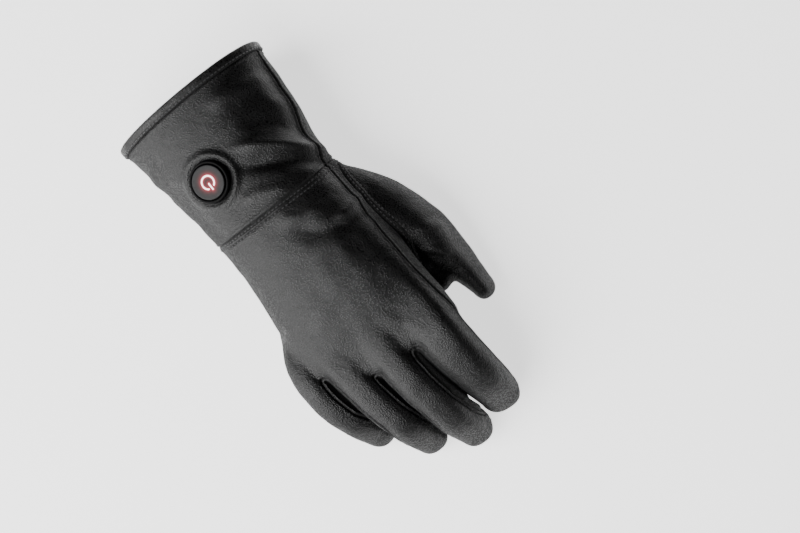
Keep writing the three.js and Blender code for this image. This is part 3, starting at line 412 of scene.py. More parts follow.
class Skin:
    def __init__(self, points, faces):
        self.points, self.faces = points, faces
        self.values = {}

    def edges(self, faces=None):
        count = len(self.points)
        pairs = np.sort(sides_of(self.faces if faces is None else faces), 1).astype(np.int64)
        keys = np.unique(pairs[:, 0] * count + pairs[:, 1])
        return np.stack([keys // count, keys % count], 1)

    def normals(self):
        a, b, c = self.points[self.faces].transpose(1, 0, 2)
        flat = np.cross(b - a, c - a)
        return unit(sums(self.faces.ravel(), np.repeat(flat, 3, 0), len(self.points)), TINY)

    def mean(self, values, edges):
        """Mean of each point's neighbours."""
        a, b = edges.T
        rows = values.reshape(len(values), -1)
        total = sums(a, rows[b], len(rows)) + sums(b, rows[a], len(rows))
        count = np.bincount(edges.ravel(), minlength=len(rows))
        return (total / count[:, None]).reshape(values.shape)

    def slope(self, values):
        """Size of the gradient of a value along the surface."""
        a, b, c = self.points[self.faces].transpose(1, 0, 2)
        flat = np.cross(b - a, c - a)
        square = np.einsum("ij,ij->i", flat, flat) + 1e-12
        opposite = np.stack([c - b, a - c, b - a])
        grad = (np.cross(flat, opposite) * values[self.faces].T[:, :, None]).sum(0) / square[:, None]
        area = np.sqrt(square)
        corners = self.faces.ravel()
        weight = np.bincount(corners, np.repeat(area, 3), len(values))
        total = sums(corners, np.repeat(grad * area[:, None], 3, 0), len(values))
        return np.linalg.norm(total / weight[:, None], axis=1)

    def cut(self, name, level=0.0, near=0.16):
        """Adds edges along the line where a value has this level, or moves close points onto it."""
        g = self.values[name] - level
        on_faces = g[self.faces]
        crossed = (on_faces.min(1) < 0) & (on_faces.max(1) > 0)
        edges = self.edges(self.faces[crossed])

        def crossings():
            a, b = edges.T
            crossing = g[a] * g[b] < 0
            a, b = a[crossing], b[crossing]
            return a, b, g[a] / (g[a] - g[b])

        for _ in range(2):
            a, b, t = crossings()
            for here, there, share in ((a, b, t), (b, a, 1 - t)):
                close = share < near
                i, first = np.unique(here[close], return_index=True)
                j, w = there[close][first], share[close][first]
                self.points[i] += w[:, None] * (self.points[j] - self.points[i])
                for values in self.values.values():
                    values[i] += w * (values[j] - values[i])
                g[i] = 0
                self.values[name][i] = level
        a, b, t = crossings()
        count = len(self.points)
        added = self.points[a] + t[:, None] * (self.points[b] - self.points[a])
        self.points = np.concatenate([self.points, added])
        for key, values in self.values.items():
            self.values[key] = np.concatenate([values, values[a] + t * (values[b] - values[a])])
        self.values[name][count:] = level
        keys = a.astype(np.int64) * count + b
        order = np.argsort(keys)
        keys, ids = keys[order], count + order

        def middle(p, q):
            key = np.minimum(p, q).astype(np.int64) * count + np.maximum(p, q)
            spot = np.clip(np.searchsorted(keys, key), 0, max(0, len(keys) - 1))
            found = keys[spot] == key if len(keys) else np.zeros(len(key), bool)
            return np.where(found, ids[spot] if len(keys) else -1, -1)

        f = self.faces[crossed]
        mids = np.stack([middle(f[:, k], f[:, (k + 1) % 3]) for k in range(3)], 1)
        split = (mids >= 0).sum(1)
        out = [self.faces[~crossed], f[split == 0]]
        # Faces with one and with two cut sides; their parts by number, 0 to 2 corners, 3 to 5 new points
        for cuts, first, parts in (
            (1, np.argmax(mids >= 0, 1), ([0, 3, 2], [3, 1, 2])),
            (2, (np.argmax(mids < 0, 1) + 2) % 3, ([0, 3, 5], [3, 1, 2], [3, 2, 5])),
        ):
            case = split == cuts
            turn = (first[case, None] + np.arange(3)) % 3
            six = np.concatenate([np.take_along_axis(rows[case], turn, 1) for rows in (f, mids)], 1)
            out += [six[:, part] for part in parts]
        self.faces = np.concatenate(out)

    def mean_of(self, name):
        return self.values[name][self.faces].mean(1)


def build_skin(field):
    """The outer leather, smoothed and set exactly on the field's surface."""
    skin = Skin(*surface_nets(field.both, GRID_LOW, field.step))
    for _ in range(4):
        skin.points = 0.45 * skin.points + 0.55 * skin.mean(skin.points, skin.edges())
        slope = field.gradient(field.both, skin.points)
        off = field.sample(field.both, skin.points) / np.maximum((slope**2).sum(1), 0.3)
        skin.points -= np.clip(off, -1, 1)[:, None] * slope
    return skin


# Where the seams run

# Half widths of the side strips, and which sides of each finger carry one: toward -X, toward +X
STRIP_TOP = 9.2
STRIP_BOTTOM = 7.5
STRIP_SIDES = ((False, True), (True, True), (True, True), (True, False))
# Share of a finger over which its strips narrow to its tip
STRIP_TAPER = 0.3
# The seam on the thumb's side: places along the hand and heights over the trunk's middle
SIDE_SEAM_ALONG = [0, 40, 86, 150, 185, 215]
SIDE_SEAM_HEIGHT = [7, 6, 7, 8, 5, 0]
# Where leather belongs to a finger, and where the seams turn from the trunk to the finger
FINGERS_FROM = 150
FINGER_HALF = 24
TURN_BEFORE, TURN_AFTER = 12, 16
STITCH = 2.7
HEM = 1.3


def wrist_seam(z):
    return CUFF_LENGTH + SEAM_LEAN * (z - SEAM_LEVEL)


def seam_values(skin, field):
    """Signed values that are 0 on each seam."""
    p = skin.points
    v = skin.values
    v["wrist"] = p[:, 1] - wrist_seam(p[:, 2])
    v["thumb"] = field.sample(field.hand, p) - field.sample(field.thumb, p)
    s, u = trunk_local(p)
    side_level = np.where(s < 0, np.interp(p[:, 1], SIDE_SEAM_ALONG, SIDE_SEAM_HEIGHT), 0.0)
    top, bottom = u - side_level, u - side_level
    nearest = np.full(len(p), 1e9)
    for limb, strips in zip(FINGERS, STRIP_SIDES):
        beside = np.abs(p[:, 0] - limb.spine(p[:, 1])) < FINGER_HALF
        index = np.nonzero((p[:, 1] > FINGERS_FROM) & beside)[0]
        ls, lu, ahead, share, rows = limb.local(p[index])
        distance = section_distance(ls, lu, rows[:, 0], rows[:, 1], rows[:, 2], rows[:, 4], ahead, limb.cap)
        distance = np.abs(distance)
        closer = distance < nearest[index]
        index, ls, lu, share, distance = (values[closer] for values in (index, ls, lu, share, distance))
        nearest[index] = distance
        knuckle = knuckle_line(p[index, 0])
        follow = smooth_step(p[index, 1], knuckle - TURN_BEFORE, knuckle + TURN_AFTER)
        height = u[index] * (1 - follow) + lu * follow
        inner = np.where(ls > 0, strips[1], strips[0])
        taper = np.clip((1.0 - share) / STRIP_TAPER, 0, 1) ** 0.7
        plain = side_level[index] * (1 - follow)
        top[index] = height - np.where(inner, STRIP_TOP * taper, plain)
        bottom[index] = height + np.where(inner, STRIP_BOTTOM * taper, -plain)
    edges = skin.edges()
    for name, values in (("top", top), ("bottom", bottom)):
        for _ in range(2):
            values = 0.5 * values + 0.5 * skin.mean(values, edges)
        v[name] = values


# Folds on the back: from x, y to x, y, bend sideways, width on each side, height
FOLDS = [
    (-3, 47, -50, 83, 3, 3.8, 3.3, 2.1),
    (-6, 20, -48, 26, 2, 6.5, 6, 2.2),
    (-16, 38, -50, 70, 2, 6, 5, -1.7),
    (4, 58, -46, 88, 2, 4.5, 4, -2.0),
    (14, 74, -14, 85, 1, 4, 3.5, 0.9),
    (-34, 28, -52, 52, -2, 5, 4, 0.8),
    (-36, 89, -6, 92, 1, 4.5, 4, -1.2),
    (-30, 107, 2, 98, 2, 4.5, 3.5, 1.0),
    (-46, 127, 0, 108, 4, 7, 4, -1.7),
    (-50, 111, -26, 118, 2, 3.5, 3.5, 1.3),
    (-48, 140, -18, 134, 2, 8, 6, -0.9),
    (34, 86, 44, 60, -2, 4, 4, -0.9),
    (58, 17, 36, 25, 1, 4, 4, -1.3),
    (58, 27, 40, 33, 0, 3.5, 3.5, 0.6),
    (58, 38, 36, 43, 1, 4.5, 4, -1.2),
    (40, 146, 52, 152, 1, 3, 3, -1.0),
    (-8, 176, -22, 196, 0, 4, 4, 0.5),
    (-52, 160, -66, 174, 1, 2.6, 2.4, 1.2),
    (-50, 170, -64, 184, -1, 2.4, 2.2, -1.1),
    (-58, 150, -74, 158, 1, 4, 3, 0.8),
]


def fold_height(x, y):
    total = np.zeros_like(x)
    for x0, y0, x1, y1, bend, left, right, height in FOLDS:
        length = math.hypot(x1 - x0, y1 - y0)
        tx, ty = (x1 - x0) / length, (y1 - y0) / length
        t = ((x - x0) * tx + (y - y0) * ty) / length
        off = (y - y0) * tx - (x - x0) * ty - bend * 4 * t * (1 - t)
        spread = np.where(off > 0, left, right)
        total += height * np.exp(-((off / spread) ** 2)) * np.exp(-((np.abs(t - 0.5) / 0.46) ** 5))
    return total


# The back slants toward the thumb: its depth, and where it starts and ends
SLANT = 2.4
SLANT_ACROSS = (-2, 44)
SLANT_START = (4, 26)
SLANT_END = (-215, -185)
SLANT_ABOVE = (38, 50)


def broad_height(points, outward):
    """Folds of the back and its slant toward the thumb, where the leather faces up."""
    x, y, z = points.T
    slant = SLANT * smooth_step(-x, *SLANT_ACROSS) * smooth_step(y, *SLANT_START)
    slant *= smooth_step(-y, *SLANT_END) * smooth_step(z, *SLANT_ABOVE) * smooth_step(outward[:, 2], 0.0, 0.5)
    return fold_height(x, y) * smooth_step(outward[:, 2], -0.3, 0.3) - slant


def waves(points, size, seed):
    """Smooth uneven values between about -1 and 1, about size mm from crest to crest."""
    rng = np.random.default_rng(seed)
    total = np.zeros(len(points))
    for _ in range(9):
        way = rng.normal(size=3)
        way /= np.linalg.norm(way)
        total += np.sin(points @ way * (2 * math.pi / size) * rng.uniform(0.7, 1.4) + rng.uniform(0, 6.3))
    return total / 3.6


def bump(distance, width):
    return np.exp(-((distance / width) ** 2))


def rolls(distance, rows):
    """Ridges and grooves beside a line; each row is a height, its place and its width."""
    return sum(height * bump(distance - place, width) for height, place, width in rows)


# Making objects


def set_value(mesh, key, values):
    layer = mesh.attributes.new(key, "FLOAT", "POINT")
    layer.data.foreach_set("value", np.asarray(values, np.float32))


def to_object(name, points, faces, normals=None, painted_shade=None):
    mesh = bpy.data.meshes.new(name)
    mesh.from_pydata(metres(points).tolist(), [], faces)
    mesh.polygons.foreach_set("use_smooth", np.ones(len(mesh.polygons), bool))
    if painted_shade is not None:
        set_value(mesh, "painted_shade", painted_shade)
    mesh.update()
    if normals is not None:
        mesh.normals_split_custom_set_from_vertices(normals.tolist())
    item = bpy.data.objects.new(name, mesh)
    bpy.context.scene.collection.objects.link(item)
    return item


def add(item, body, material, nodes=()):
    item.data.materials.append(material)
    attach(item, body)
    if nodes:
        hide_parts(*nodes)
    return item


# How near to a value's line a point lies on it, and how much painted shade darkens a wall at a free edge
ON_LINE = 1e-9
ON_RIM = 1e-6
WALL_PAINTED_SHADE = 0.8


def panel(skin, chosen, name, normals, wall=None):
    """The chosen triangles as an object. A wall, a value's name and a depth, turns inward on its line."""
    used, flat = np.unique(skin.faces[chosen].ravel(), return_inverse=True)
    triangles = flat.reshape(-1, 3)
    faces = triangles.tolist()
    points, directions, painted_shade = skin.points[used], normals[used], skin.values["painted_shade"][used]
    if wall is not None:
        rim, depth = wall
        sides = sides_of(triangles)
        _, back, count = np.unique(np.sort(sides, 1), axis=0, return_inverse=True, return_counts=True)
        sides = sides[count[back.ravel()] == 1]
        near = np.abs(skin.values[rim][used]) < ON_RIM
        sides = sides[near[sides].all(1)]
        ring = np.unique(sides)
        number = {p: len(points) + i for i, p in enumerate(ring.tolist())}
        points = np.concatenate([points, points[ring] - depth * directions[ring]])
        directions = np.concatenate([directions, np.zeros((len(ring), 3))])
        # Painted shade on the wall's inner points, standing in for the shadow inside the opening
        painted_shade = np.concatenate([painted_shade, np.full(len(ring), WALL_PAINTED_SHADE)])
        faces += [[b, a, number[a], number[b]] for a, b in sides.tolist()]
    return to_object(name, points, faces, directions, painted_shade)


def chains(edges):
    """Runs of points through a set of edges."""
    links = {}
    for a, b in edges.tolist():
        links.setdefault(a, []).append(b)
        links.setdefault(b, []).append(a)
    starts = [p for p, near in links.items() if len(near) != 2] + list(links)
    used, out = set(), []
    for start in starts:
        for here in links[start]:
            run, before = [start], start
            while frozenset((before, here)) not in used:
                used.add(frozenset((before, here)))
                run.append(here)
                if len(links[here]) != 2:
                    break
                before, here = here, links[here][links[here][0] == before]
            if len(run) > 1:
                out.append(run)
    return out


def line_edges(skin, name, level, keep):
    on = (np.abs(skin.values[name] - level) < ON_LINE) & keep
    edges = skin.edges(skin.faces[on[skin.faces].sum(1) > 1])
    return edges[on[edges].all(1)]


def measure(skin, name, keep, reach=9.0):
    """Makes a value the true distance from its line, within reach."""
    values = skin.values[name]
    edges = line_edges(skin, name, 0, keep)
    a, b = skin.points[edges[:, 0]], skin.points[edges[:, 1]]
    tree = KDTree(len(edges))
    for i, middle in enumerate(((a + b) / 2).tolist()):
        tree.insert(middle, i)
    tree.balance()
    sign = np.sign(values)
    away = np.full(len(sign), reach)
    d = b - a
    square = np.einsum("ij,ij->i", d, d) + 1e-12
    rough = values / np.maximum(skin.slope(values), 0.25)
    for i in np.nonzero((np.abs(rough) < 2 * reach) & (sign != 0))[0].tolist():
        p = skin.points[i]
        found = tree.find_n(p, 3)
        if found[0][2] > reach:
            continue
        k = [f[1] for f in found]
        t = np.clip(((p - a[k]) * d[k]).sum(1) / square[k], 0, 1)
        away[i] = min(away[i], np.sqrt(((p - a[k] - t[:, None] * d[k]) ** 2).sum(1)).min())
    skin.values[name] = np.where(sign == 0, 0.0, sign * away)


def resample(points, normals, pitch, beside=0.4):
    """Evenly spaced places along a run, with the way along and the way out."""
    smooth = points.copy()
    for _ in range(3):
        smooth[1:-1] = 0.25 * smooth[:-2] + 0.5 * smooth[1:-1] + 0.25 * smooth[2:]
    place = np.concatenate([[0], np.cumsum(np.linalg.norm(np.diff(smooth, axis=0), axis=1))])
    count = int(place[-1] // pitch)
    at = (np.arange(count) + 0.5) * place[-1] / max(count, 1)

    def look(values, where):
        return np.stack([np.interp(where, place, values[:, k]) for k in range(3)], -1)

    return look(smooth, at), look(smooth, at + beside) - look(smooth, at - beside), look(normals, at)


STITCHES = []
# A thread from end to end: place, rise over the leather and thickness
THREAD_PLACE = np.array([-1.0, -0.86, -0.5, 0.0, 0.5, 0.86, 1.0])
THREAD_RISE = np.array([-0.42, -0.12, 0.12, 0.2, 0.12, -0.12, -0.42])
THREAD_THICK = np.array([0.35, 0.8, 1.0, 1.0, 1.0, 0.8, 0.35])
THREAD_SIDES = 6


def sew(skin, normals, edges, radius=0.33, length=0.68, least=6.0):
    """Threads along the runs of a line that are longer than the least, dipping into the leather."""
    for run in chains(edges):
        points, out = skin.points[run], normals[run]
        if np.linalg.norm(np.diff(points, axis=0), axis=1).sum() < least:
            continue
        STITCHES.append((*resample(points, out, STITCH), STITCH * length, radius))


def ring_faces(rings, sides, start=0):
    """Quads between rings of points that follow one another, the first point being number start."""
    row, here = np.meshgrid(start + np.arange(rings - 1) * sides, np.arange(sides), indexing="ij")
    there = (here + 1) % sides
    quads = [row + here, row + there, row + sides + there, row + sides + here]
    return np.stack(quads, -1).reshape(-1, 4).tolist()


def thread_object(name, groups):
    """All threads as one mesh of small bowed rods."""
    rods, faces = [], []
    angle = np.arange(THREAD_SIDES) * 2 * math.pi / THREAD_SIDES
    around = np.outer(THREAD_THICK, np.cos(angle)).ravel()
    beside = np.outer(THREAD_THICK, np.sin(angle)).ravel()
    for middle, way, out, length, radius in groups:
        way = unit(way, TINY)
        out = unit(out - way * (out * way).sum(1)[:, None], TINY)
        for m, w, o, s in zip(middle, way, out, np.cross(way, out)):
            bow = np.outer(THREAD_PLACE * length / 2, w) + np.outer(THREAD_RISE * radius * 2, o)
            bow = m + np.repeat(bow, THREAD_SIDES, 0)
            faces += ring_faces(len(THREAD_PLACE), THREAD_SIDES, len(rods) * len(bow))
            rods.append(bow + np.outer(around * radius, o) + np.outer(beside * radius, s))
    points = np.concatenate(rods)
    points[:, 2] = np.maximum(points[:, 2], 0.02)
    return to_object(name, points, faces)


def rounded(points, radius, steps=5):
    """A profile with its corners rounded."""
    points = [np.array(p, float) for p in points]
    out = [points[0]]
    for before, corner, after in zip(points, points[1:], points[2:]):
        a, b = before - corner, after - corner
        r = min(radius, 0.45 * np.linalg.norm(a), 0.45 * np.linalg.norm(b))
        start, end = corner + unit(a) * r, corner + unit(b) * r
        for t in np.arange(steps + 1) / steps:
            out.append((1 - t) ** 2 * start + 2 * t * (1 - t) * corner + t * t * end)
    out.append(points[-1])
    return [(float(p[0]), float(p[1])) for p in out]


# Building the leather

# Button: a point on its axis near the leather, and its axes
BUTTON_FRAME = (
    np.array([19.6, 53.7, 57.3]),
    np.array([0.94684, 0, -0.321705]),
    np.array([-0.00447, 0.999903, -0.013156]),
    np.array([0.321674, 0.013895, 0.946749]),
)
BEZEL_RADIUS = 12.8
PAD_RADIUS = 17.5
BUTTON_REACH = 16
BUTTON_FAR = 60.0
PAD_EDGE = PAD_RADIUS - BEZEL_RADIUS - 0.3

# Zip window on the palm side of the cuff
ZIP_Y = 24.5
ZIP_HALF = 44.0
ZIP_OPENING = 8.5
ZIP_CORNER = 2
ZIP_BELOW = 26
ZIP_FAR = 30.0

# Palm patch between the thumb and the heel of the hand
PATCH_ALONG = [97.4, 117.2, 138.3, 154.2, 163.4]
PATCH_LEFT = [-8, -21, -29, -30, -26]
PATCH_RIGHT = [-1, 6, 10, 8, 2]
PATCH_FAR = -20.0

# How far under the trunk's middle the pieces of the palm side may lie
ZIP_UNDER = 4
PATCH_UNDER = 2

# Sewn lines, as distances from the seam or the edge
WRIST_SEWN = (1.4, 3.9)
THUMB_SEWN = (1.3, 3.6)
ZIP_SEWN = 2.4
PATCH_SEWN = 1.2

# Ridges and grooves: height, place and width
WRIST_ROLLS = [(-0.75, 0, 0.55), (0.35, -1.3, 1.0), (0.5, 2.6, 0.9)] + [(-0.32, s, 0.45) for s in WRIST_SEWN]
HEM_ROLLS = [(0.6, 7.7, 0.7)]
SIDE_ROLLS = [(-0.95, 0, 0.5), (0.3, 1.4, 0.8)]
STRIP_ROLLS = [(0.5, -1.2, 0.6)]
THUMB_ROLLS = [(-0.9, 0, 0.5), (0.35, 2.45, 0.8), (-0.22, 3.6, 0.4)]
PAD_ROLLS = [(1.35, 16.0, 2.5)]
ZIP_ROLLS = [(-1.3, 0, 0.55), (0.35, 1.2, 0.7), (-0.2, ZIP_SEWN, 0.4)]
PATCH_ROLLS = [(-0.18, PATCH_SEWN, 0.4)]
PATCH_THICK = 1.1
# How far the side strips bulge, and those toward the index finger besides
STRIP_BULGE = 1.25
SLOT_BULGE = 1.9
# How far from a line its ridges and grooves end
PAD_END = 6
ZIP_END = 6

# Gathers over the elastic: middle, spread, pitch, depth, reach across, and the sewn rows beside it
GATHER_Y = CUFF_LENGTH - 13
GATHER_SPREAD = 9.5
GATHER_PITCH = 5.6
GATHER_DEPTH = 1.7
GATHER_MIDDLE = 3
GATHER_HALF = 44
GATHER_ROWS = (-3.4, 3.4)


def from_button(points):
    """Distance from the button's axis, near its place on the cuff."""
    origin, ax, ay, az = BUTTON_FRAME
    off = points - origin
    return np.where(np.abs(off @ az) < BUTTON_REACH, np.hypot(off @ ax, off @ ay), BUTTON_FAR)


def from_zip(points, under):
    """Distance from the edge of the zip window, negative inside it."""
    dx = np.abs(points[:, 0]) - ZIP_HALF + ZIP_CORNER
    dy = np.abs(points[:, 1] - ZIP_Y) - ZIP_OPENING / 2 + ZIP_CORNER
    box = np.hypot(np.maximum(dx, 0), np.maximum(dy, 0)) + np.minimum(np.maximum(dx, dy), 0) - ZIP_CORNER
    return np.where((under > ZIP_UNDER) & (points[:, 2] < ZIP_BELOW), box, ZIP_FAR)


def from_patch(points, under):
    """Distance inward from the edge of the palm patch."""
    x, y, _ = points.T
    across = np.minimum(x - np.interp(y, PATCH_ALONG, PATCH_LEFT), np.interp(y, PATCH_ALONG, PATCH_RIGHT) - x)
    along = np.minimum(y - PATCH_ALONG[0], PATCH_ALONG[-1] - y)
    return np.where(under > PATCH_UNDER, np.minimum(across, along), PATCH_FAR)


def cut_all(levels):
    for name, places in levels.items():
        for level in places:
            skin.cut(name, level)


field = Field(STEP)
skin = build_skin(field)
seam_values(skin, field)
v = skin.values
v["under"] = -trunk_local(skin.points)[1]
cut_all({"wrist": [0], "top": [0], "bottom": [0], "thumb": [0]})
clear = v["thumb"] < ON_LINE
hand_side = v["wrist"] > -ON_LINE
measure(skin, "top", clear)
measure(skin, "bottom", clear)
measure(skin, "thumb", hand_side)
cut_all(
    {
        "wrist": (-0.8, 0.7, WRIST_SEWN[0], 2.6, WRIST_SEWN[1], 4.8),
        "top": (-1.9, -1.1, -0.5, 0.5, 1.2),
        "bottom": (-1.0, -0.5, 0.5, 1.1),
        "thumb": (-0.6, 0.6, THUMB_SEWN[0], 2.4, THUMB_SEWN[1], 4.4),
    }
)
v["hem"] = skin.points[:, 1] - HEM
v["button"] = from_button(skin.points) - BEZEL_RADIUS - 0.3
v["zip"] = from_zip(skin.points, v["under"])
v["patch"] = from_patch(skin.points, v["under"])
cut_all(
    {
        "hem": (0, 4.2),
        "button": (0, 0.8, 1.7, PAD_EDGE),
        "zip": (0, 0.7, 1.4, ZIP_SEWN),
        "patch": (0, 0.5, PATCH_SEWN, 2.2, 3.4),
    }
)

# Press the details into the skin
points = skin.points
outward = unit(field.gradient(field.both, points), TINY)
wrist, thumb, zip_off, patch = v["wrist"], v["thumb"], v["zip"], v["patch"]
on_hand = smooth_step(wrist, -0.5, 0.5)
off_thumb = np.maximum(smooth_step(-thumb, -0.4, 0.6), 1 - on_hand)
side_seam = np.minimum(np.abs(v["top"]), np.abs(v["bottom"]))
between = (v["top"] < 0) & (v["bottom"] > 0)
on_strip = between * off_thumb
from_strip_edge = np.minimum(-v["top"], v["bottom"])
button = from_button(points)
x, y = points[:, 0], points[:, 1]

height = broad_height(points, outward) * smooth_step(button, 15, 22)
height += 0.18 * waves(points, 17, 5) * smooth_step(y, 6, 20)
height += 0.04 * waves(points, 7, 8) * smooth_step(y, 6, 14)
height += rolls(wrist, WRIST_ROLLS) + rolls(y, HEM_ROLLS) + rolls(side_seam, SIDE_ROLLS) * off_thumb
height += rolls(v["top"], STRIP_ROLLS) * on_strip
height += STRIP_BULGE * smooth_step(from_strip_edge, 2.2, 6) * on_strip
height += SLOT_BULGE * smooth_step(from_strip_edge, 1.8, 4.5) * on_strip * (x < FINGERS[1].spine(y))
height += rolls(thumb, THUMB_ROLLS) * on_hand
height += np.where(button < PAD_RADIUS + PAD_END, rolls(button, PAD_ROLLS), 0)
height += np.where(zip_off < ZIP_END, rolls(zip_off, ZIP_ROLLS), 0)
height += PATCH_THICK * smooth_step(patch, -0.35, 0.25) + rolls(patch, PATCH_ROLLS)

# Gathers over the elastic, under the wrist
pitch = GATHER_PITCH * (1 + 0.12 * np.sin(x / 9.0))
bent = x + 1.6 * np.sin(y / 5.0) + 0.7 * np.sin(x / 4.1)
ripple = 0.5 + 0.5 * np.cos(2 * math.pi * bent / pitch)
gathered = smooth_step(v["under"], 4, 12) * smooth_step(GATHER_HALF - np.abs(x - GATHER_MIDDLE), 0, 8)
height -= GATHER_DEPTH * ripple**1.4 * np.exp(-(((y - GATHER_Y) / GATHER_SPREAD) ** 4)) * gathered
height -= rolls(y - GATHER_Y, [(0.5, row, 0.8) for row in GATHER_ROWS]) * gathered

points += height[:, None] * outward
points[:, 2] = np.maximum(points[:, 2], 0.04)
points[:, 1] = np.maximum(points[:, 1], 0.3)

# Painted shade: the leather is made duller and darker in its grooves, and less so where it doesn't face up,
# standing in for shade that falls there
painted_shade_terms = [
    bump(wrist, 0.55),
    rolls(wrist, [(0.85, place, 0.42) for place in WRIST_SEWN]),
    bump(side_seam, 0.5) * off_thumb,
    bump(thumb, 0.5) * on_hand,
    rolls(thumb, [(0.5, place, 0.35) for place in THUMB_SEWN]) * on_hand,
    bump(zip_off, 0.6),
    0.8 * bump(patch, 0.45),
    bump(button - BEZEL_RADIUS, 0.5),
    # Painted shade on the sides and underside, where the leather faces away from up
    0.6 * smooth_step(-outward[:, 2], -0.8, -0.3),
]
v["painted_shade"] = np.clip(np.maximum.reduce(painted_shade_terms), 0, 1)
normals = skin.normals()

in_cuff = skin.mean_of("wrist") < 0
in_thumb = (skin.mean_of("thumb") > 0) & ~in_cuff
in_hand = ~in_cuff & ~in_thumb
on_top = skin.mean_of("top") > 0
on_palm = skin.mean_of("bottom") < 0
kept = skin.mean_of("hem") > 0
pad = skin.mean_of("button")
in_patch = (skin.mean_of("patch") > 0) & in_hand & on_palm
strip = ~on_top & ~on_palm & in_hand
face_x, face_y, _ = skin.points[skin.faces].mean(1).T
past_middle = face_x >= FINGERS[1].spine(face_y)
past_ring = face_x >= FINGERS[2].spine(face_y)

# Materials


def shade(colour, share):
    return (*[share * c for c in colour], 1)


class Look:
    """A material whose nodes are made and fed by short calls."""

    def __init__(self, name):
        self.material = bpy.data.materials.new(name)
        self.material.use_nodes = True
        self.tree = self.material.node_tree
        self.shader = self.tree.nodes["Principled BSDF"]

    def feed(self, node, inputs):
        """Gives inputs, by name or number, a value or another node's output."""
        for key, value in inputs.items():
            if isinstance(value, bpy.types.NodeSocket):
                self.tree.links.new(value, node.inputs[key])
            else:
                node.inputs[key].default_value = value

    def node(self, kind, output, inputs, **settings):
        """A new node's output."""
        made = self.tree.nodes.new("ShaderNode" + kind)
        for key, value in settings.items():
            setattr(made, key, value)
        self.feed(made, inputs)
        return made.outputs[output]

    def place(self):
        return self.node("TexCoord", "Object", {})

    def value(self, name):
        return self.node("Attribute", "Fac", {}, attribute_name=name)

    def noise(self, scale, detail=2.0, rough=0.5, output="Fac"):
        inputs = {"Vector": self.place(), "Scale": scale, "Detail": detail, "Roughness": rough}
        return self.node("TexNoise", output, inputs)

    def map(self, source, low, high, to_low, to_high):
        """A value mapped from one range to another."""
        inputs = {"Value": source, "From Min": low, "From Max": high, "To Min": to_low, "To Max": to_high}
        return self.node("MapRange", "Result", inputs)

    def mix(self, share, first, second):
        """A colour between two; the node's sockets 0, 6 and 7 are the share and the colours."""
        return self.node("Mix", 2, {0: share, 6: first, 7: second}, data_type="RGBA")

    def math(self, operation, first, second, **settings):
        return self.node("Math", "Value", {0: first, 1: second}, operation=operation, **settings)

    def bump(self, source, strength, distance, under=None):
        inputs = {"Height": source, "Strength": strength, "Distance": distance}
        if under is not None:
            inputs["Normal"] = under
        return self.node("Bump", "Normal", inputs)

    def done(self, inputs):
        self.feed(self.shader, inputs)
        return self.material


def leather(name, colour, roughness, grain=0.95, depth=1.0):
    """Fine pebbled leather: grain cells, pores and soft unevenness, darker with painted shade in its sewn
    grooves.
    """
    look = Look(name)
    bend = look.noise(420.0, output="Color")
    inputs = {0: bend, 1: (0.0004, 0.0004, 0.0004), 2: look.place()}
    bent = look.node("VectorMath", "Vector", inputs, operation="MULTIPLY_ADD")
    cells = look.node("TexVoronoi", "Distance", {"Vector": bent, "Scale": 1000 / grain}, feature="F1")
    pebble = look.map(cells, 0.15, 0.65, 1.0, 0.0)
    fine = look.noise(2300.0, 3.0, 0.6)
    broad = look.noise(120.0, 4.0, 0.55)
    painted_shade = look.value("painted_shade")
    normal = look.bump(pebble, 1.0, 0.00016 * depth)
    normal = look.bump(fine, 0.8, 0.000035 * depth, normal)
    normal = look.bump(broad, 0.8, 0.00014, normal)
    tone = look.mix(look.map(broad, 0.3, 0.7, 0.2, 0.9), shade(colour, 0.55), shade(colour, 1.5))
    # Painted shade: the tone goes nearly black where the points' painted-shade value is high
    tone = look.mix(painted_shade, tone, (0.001, 0.001, 0.001, 1))
    rough = look.map(pebble, 0.1, 0.7, roughness + 0.3, roughness)
    rough = look.math("ADD", rough, look.map(painted_shade, 0.0, 1.0, 0.0, 0.45), use_clamp=True)
    return look.done({"Normal": normal, "Base Color": tone, "Roughness": rough, "Specular IOR Level": 0.34})


def smooth_material(name, colour, roughness, metal=0.0, grit=0.00002, size=900.0, shine=0.2, **glow):
    """Moulded or coated surface with a fine grit; it may glow where its points have a value."""
    look = Look(name)
    noise = look.noise(size, 3.0)
    inputs = {
        "Normal": look.bump(noise, 0.6, grit),
        "Roughness": look.map(noise, 0.3, 0.7, roughness - 0.05, roughness + 0.07),
        "Base Color": look.mix(noise, shade(colour, 0.85), shade(colour, 1.15)),
        "Metallic": metal,
        "Specular IOR Level": shine,
    }
    if glow:
        inputs["Emission Color"] = look.mix(look.value("glow"), (0, 0, 0, 1), (*glow["tint"], 1))
        inputs["Emission Strength"] = glow["strength"]
    return look.done(inputs)


def woven(name, colour, pitch):
    """Plain woven textile: crossed ribs."""
    look = Look(name)
    wave = {"Vector": look.place(), "Scale": 314.0 / pitch, "Distortion": 1.0}
    ribs = [look.node("TexWave", "Fac", wave, wave_type="BANDS", bands_direction=way) for way in "XY"]
    both = look.math("MAXIMUM", *ribs)
    tone = look.mix(both, shade(colour, 0.5), shade(colour, 1.3))
    return look.done({"Normal": look.bump(both, 0.8, 0.00015), "Base Color": tone, "Roughness": 0.9})


def light_material(name):
    """Lit symbol, a little uneven in its tint."""
    look = Look(name)
    tone = look.mix(look.noise(300.0), (1.0, 0.72, 0.74, 1), (1.0, 0.86, 0.87, 1))
    return look.done({"Emission Color": tone, "Base Color": tone, "Roughness": 0.4, "Emission Strength": 2.6})


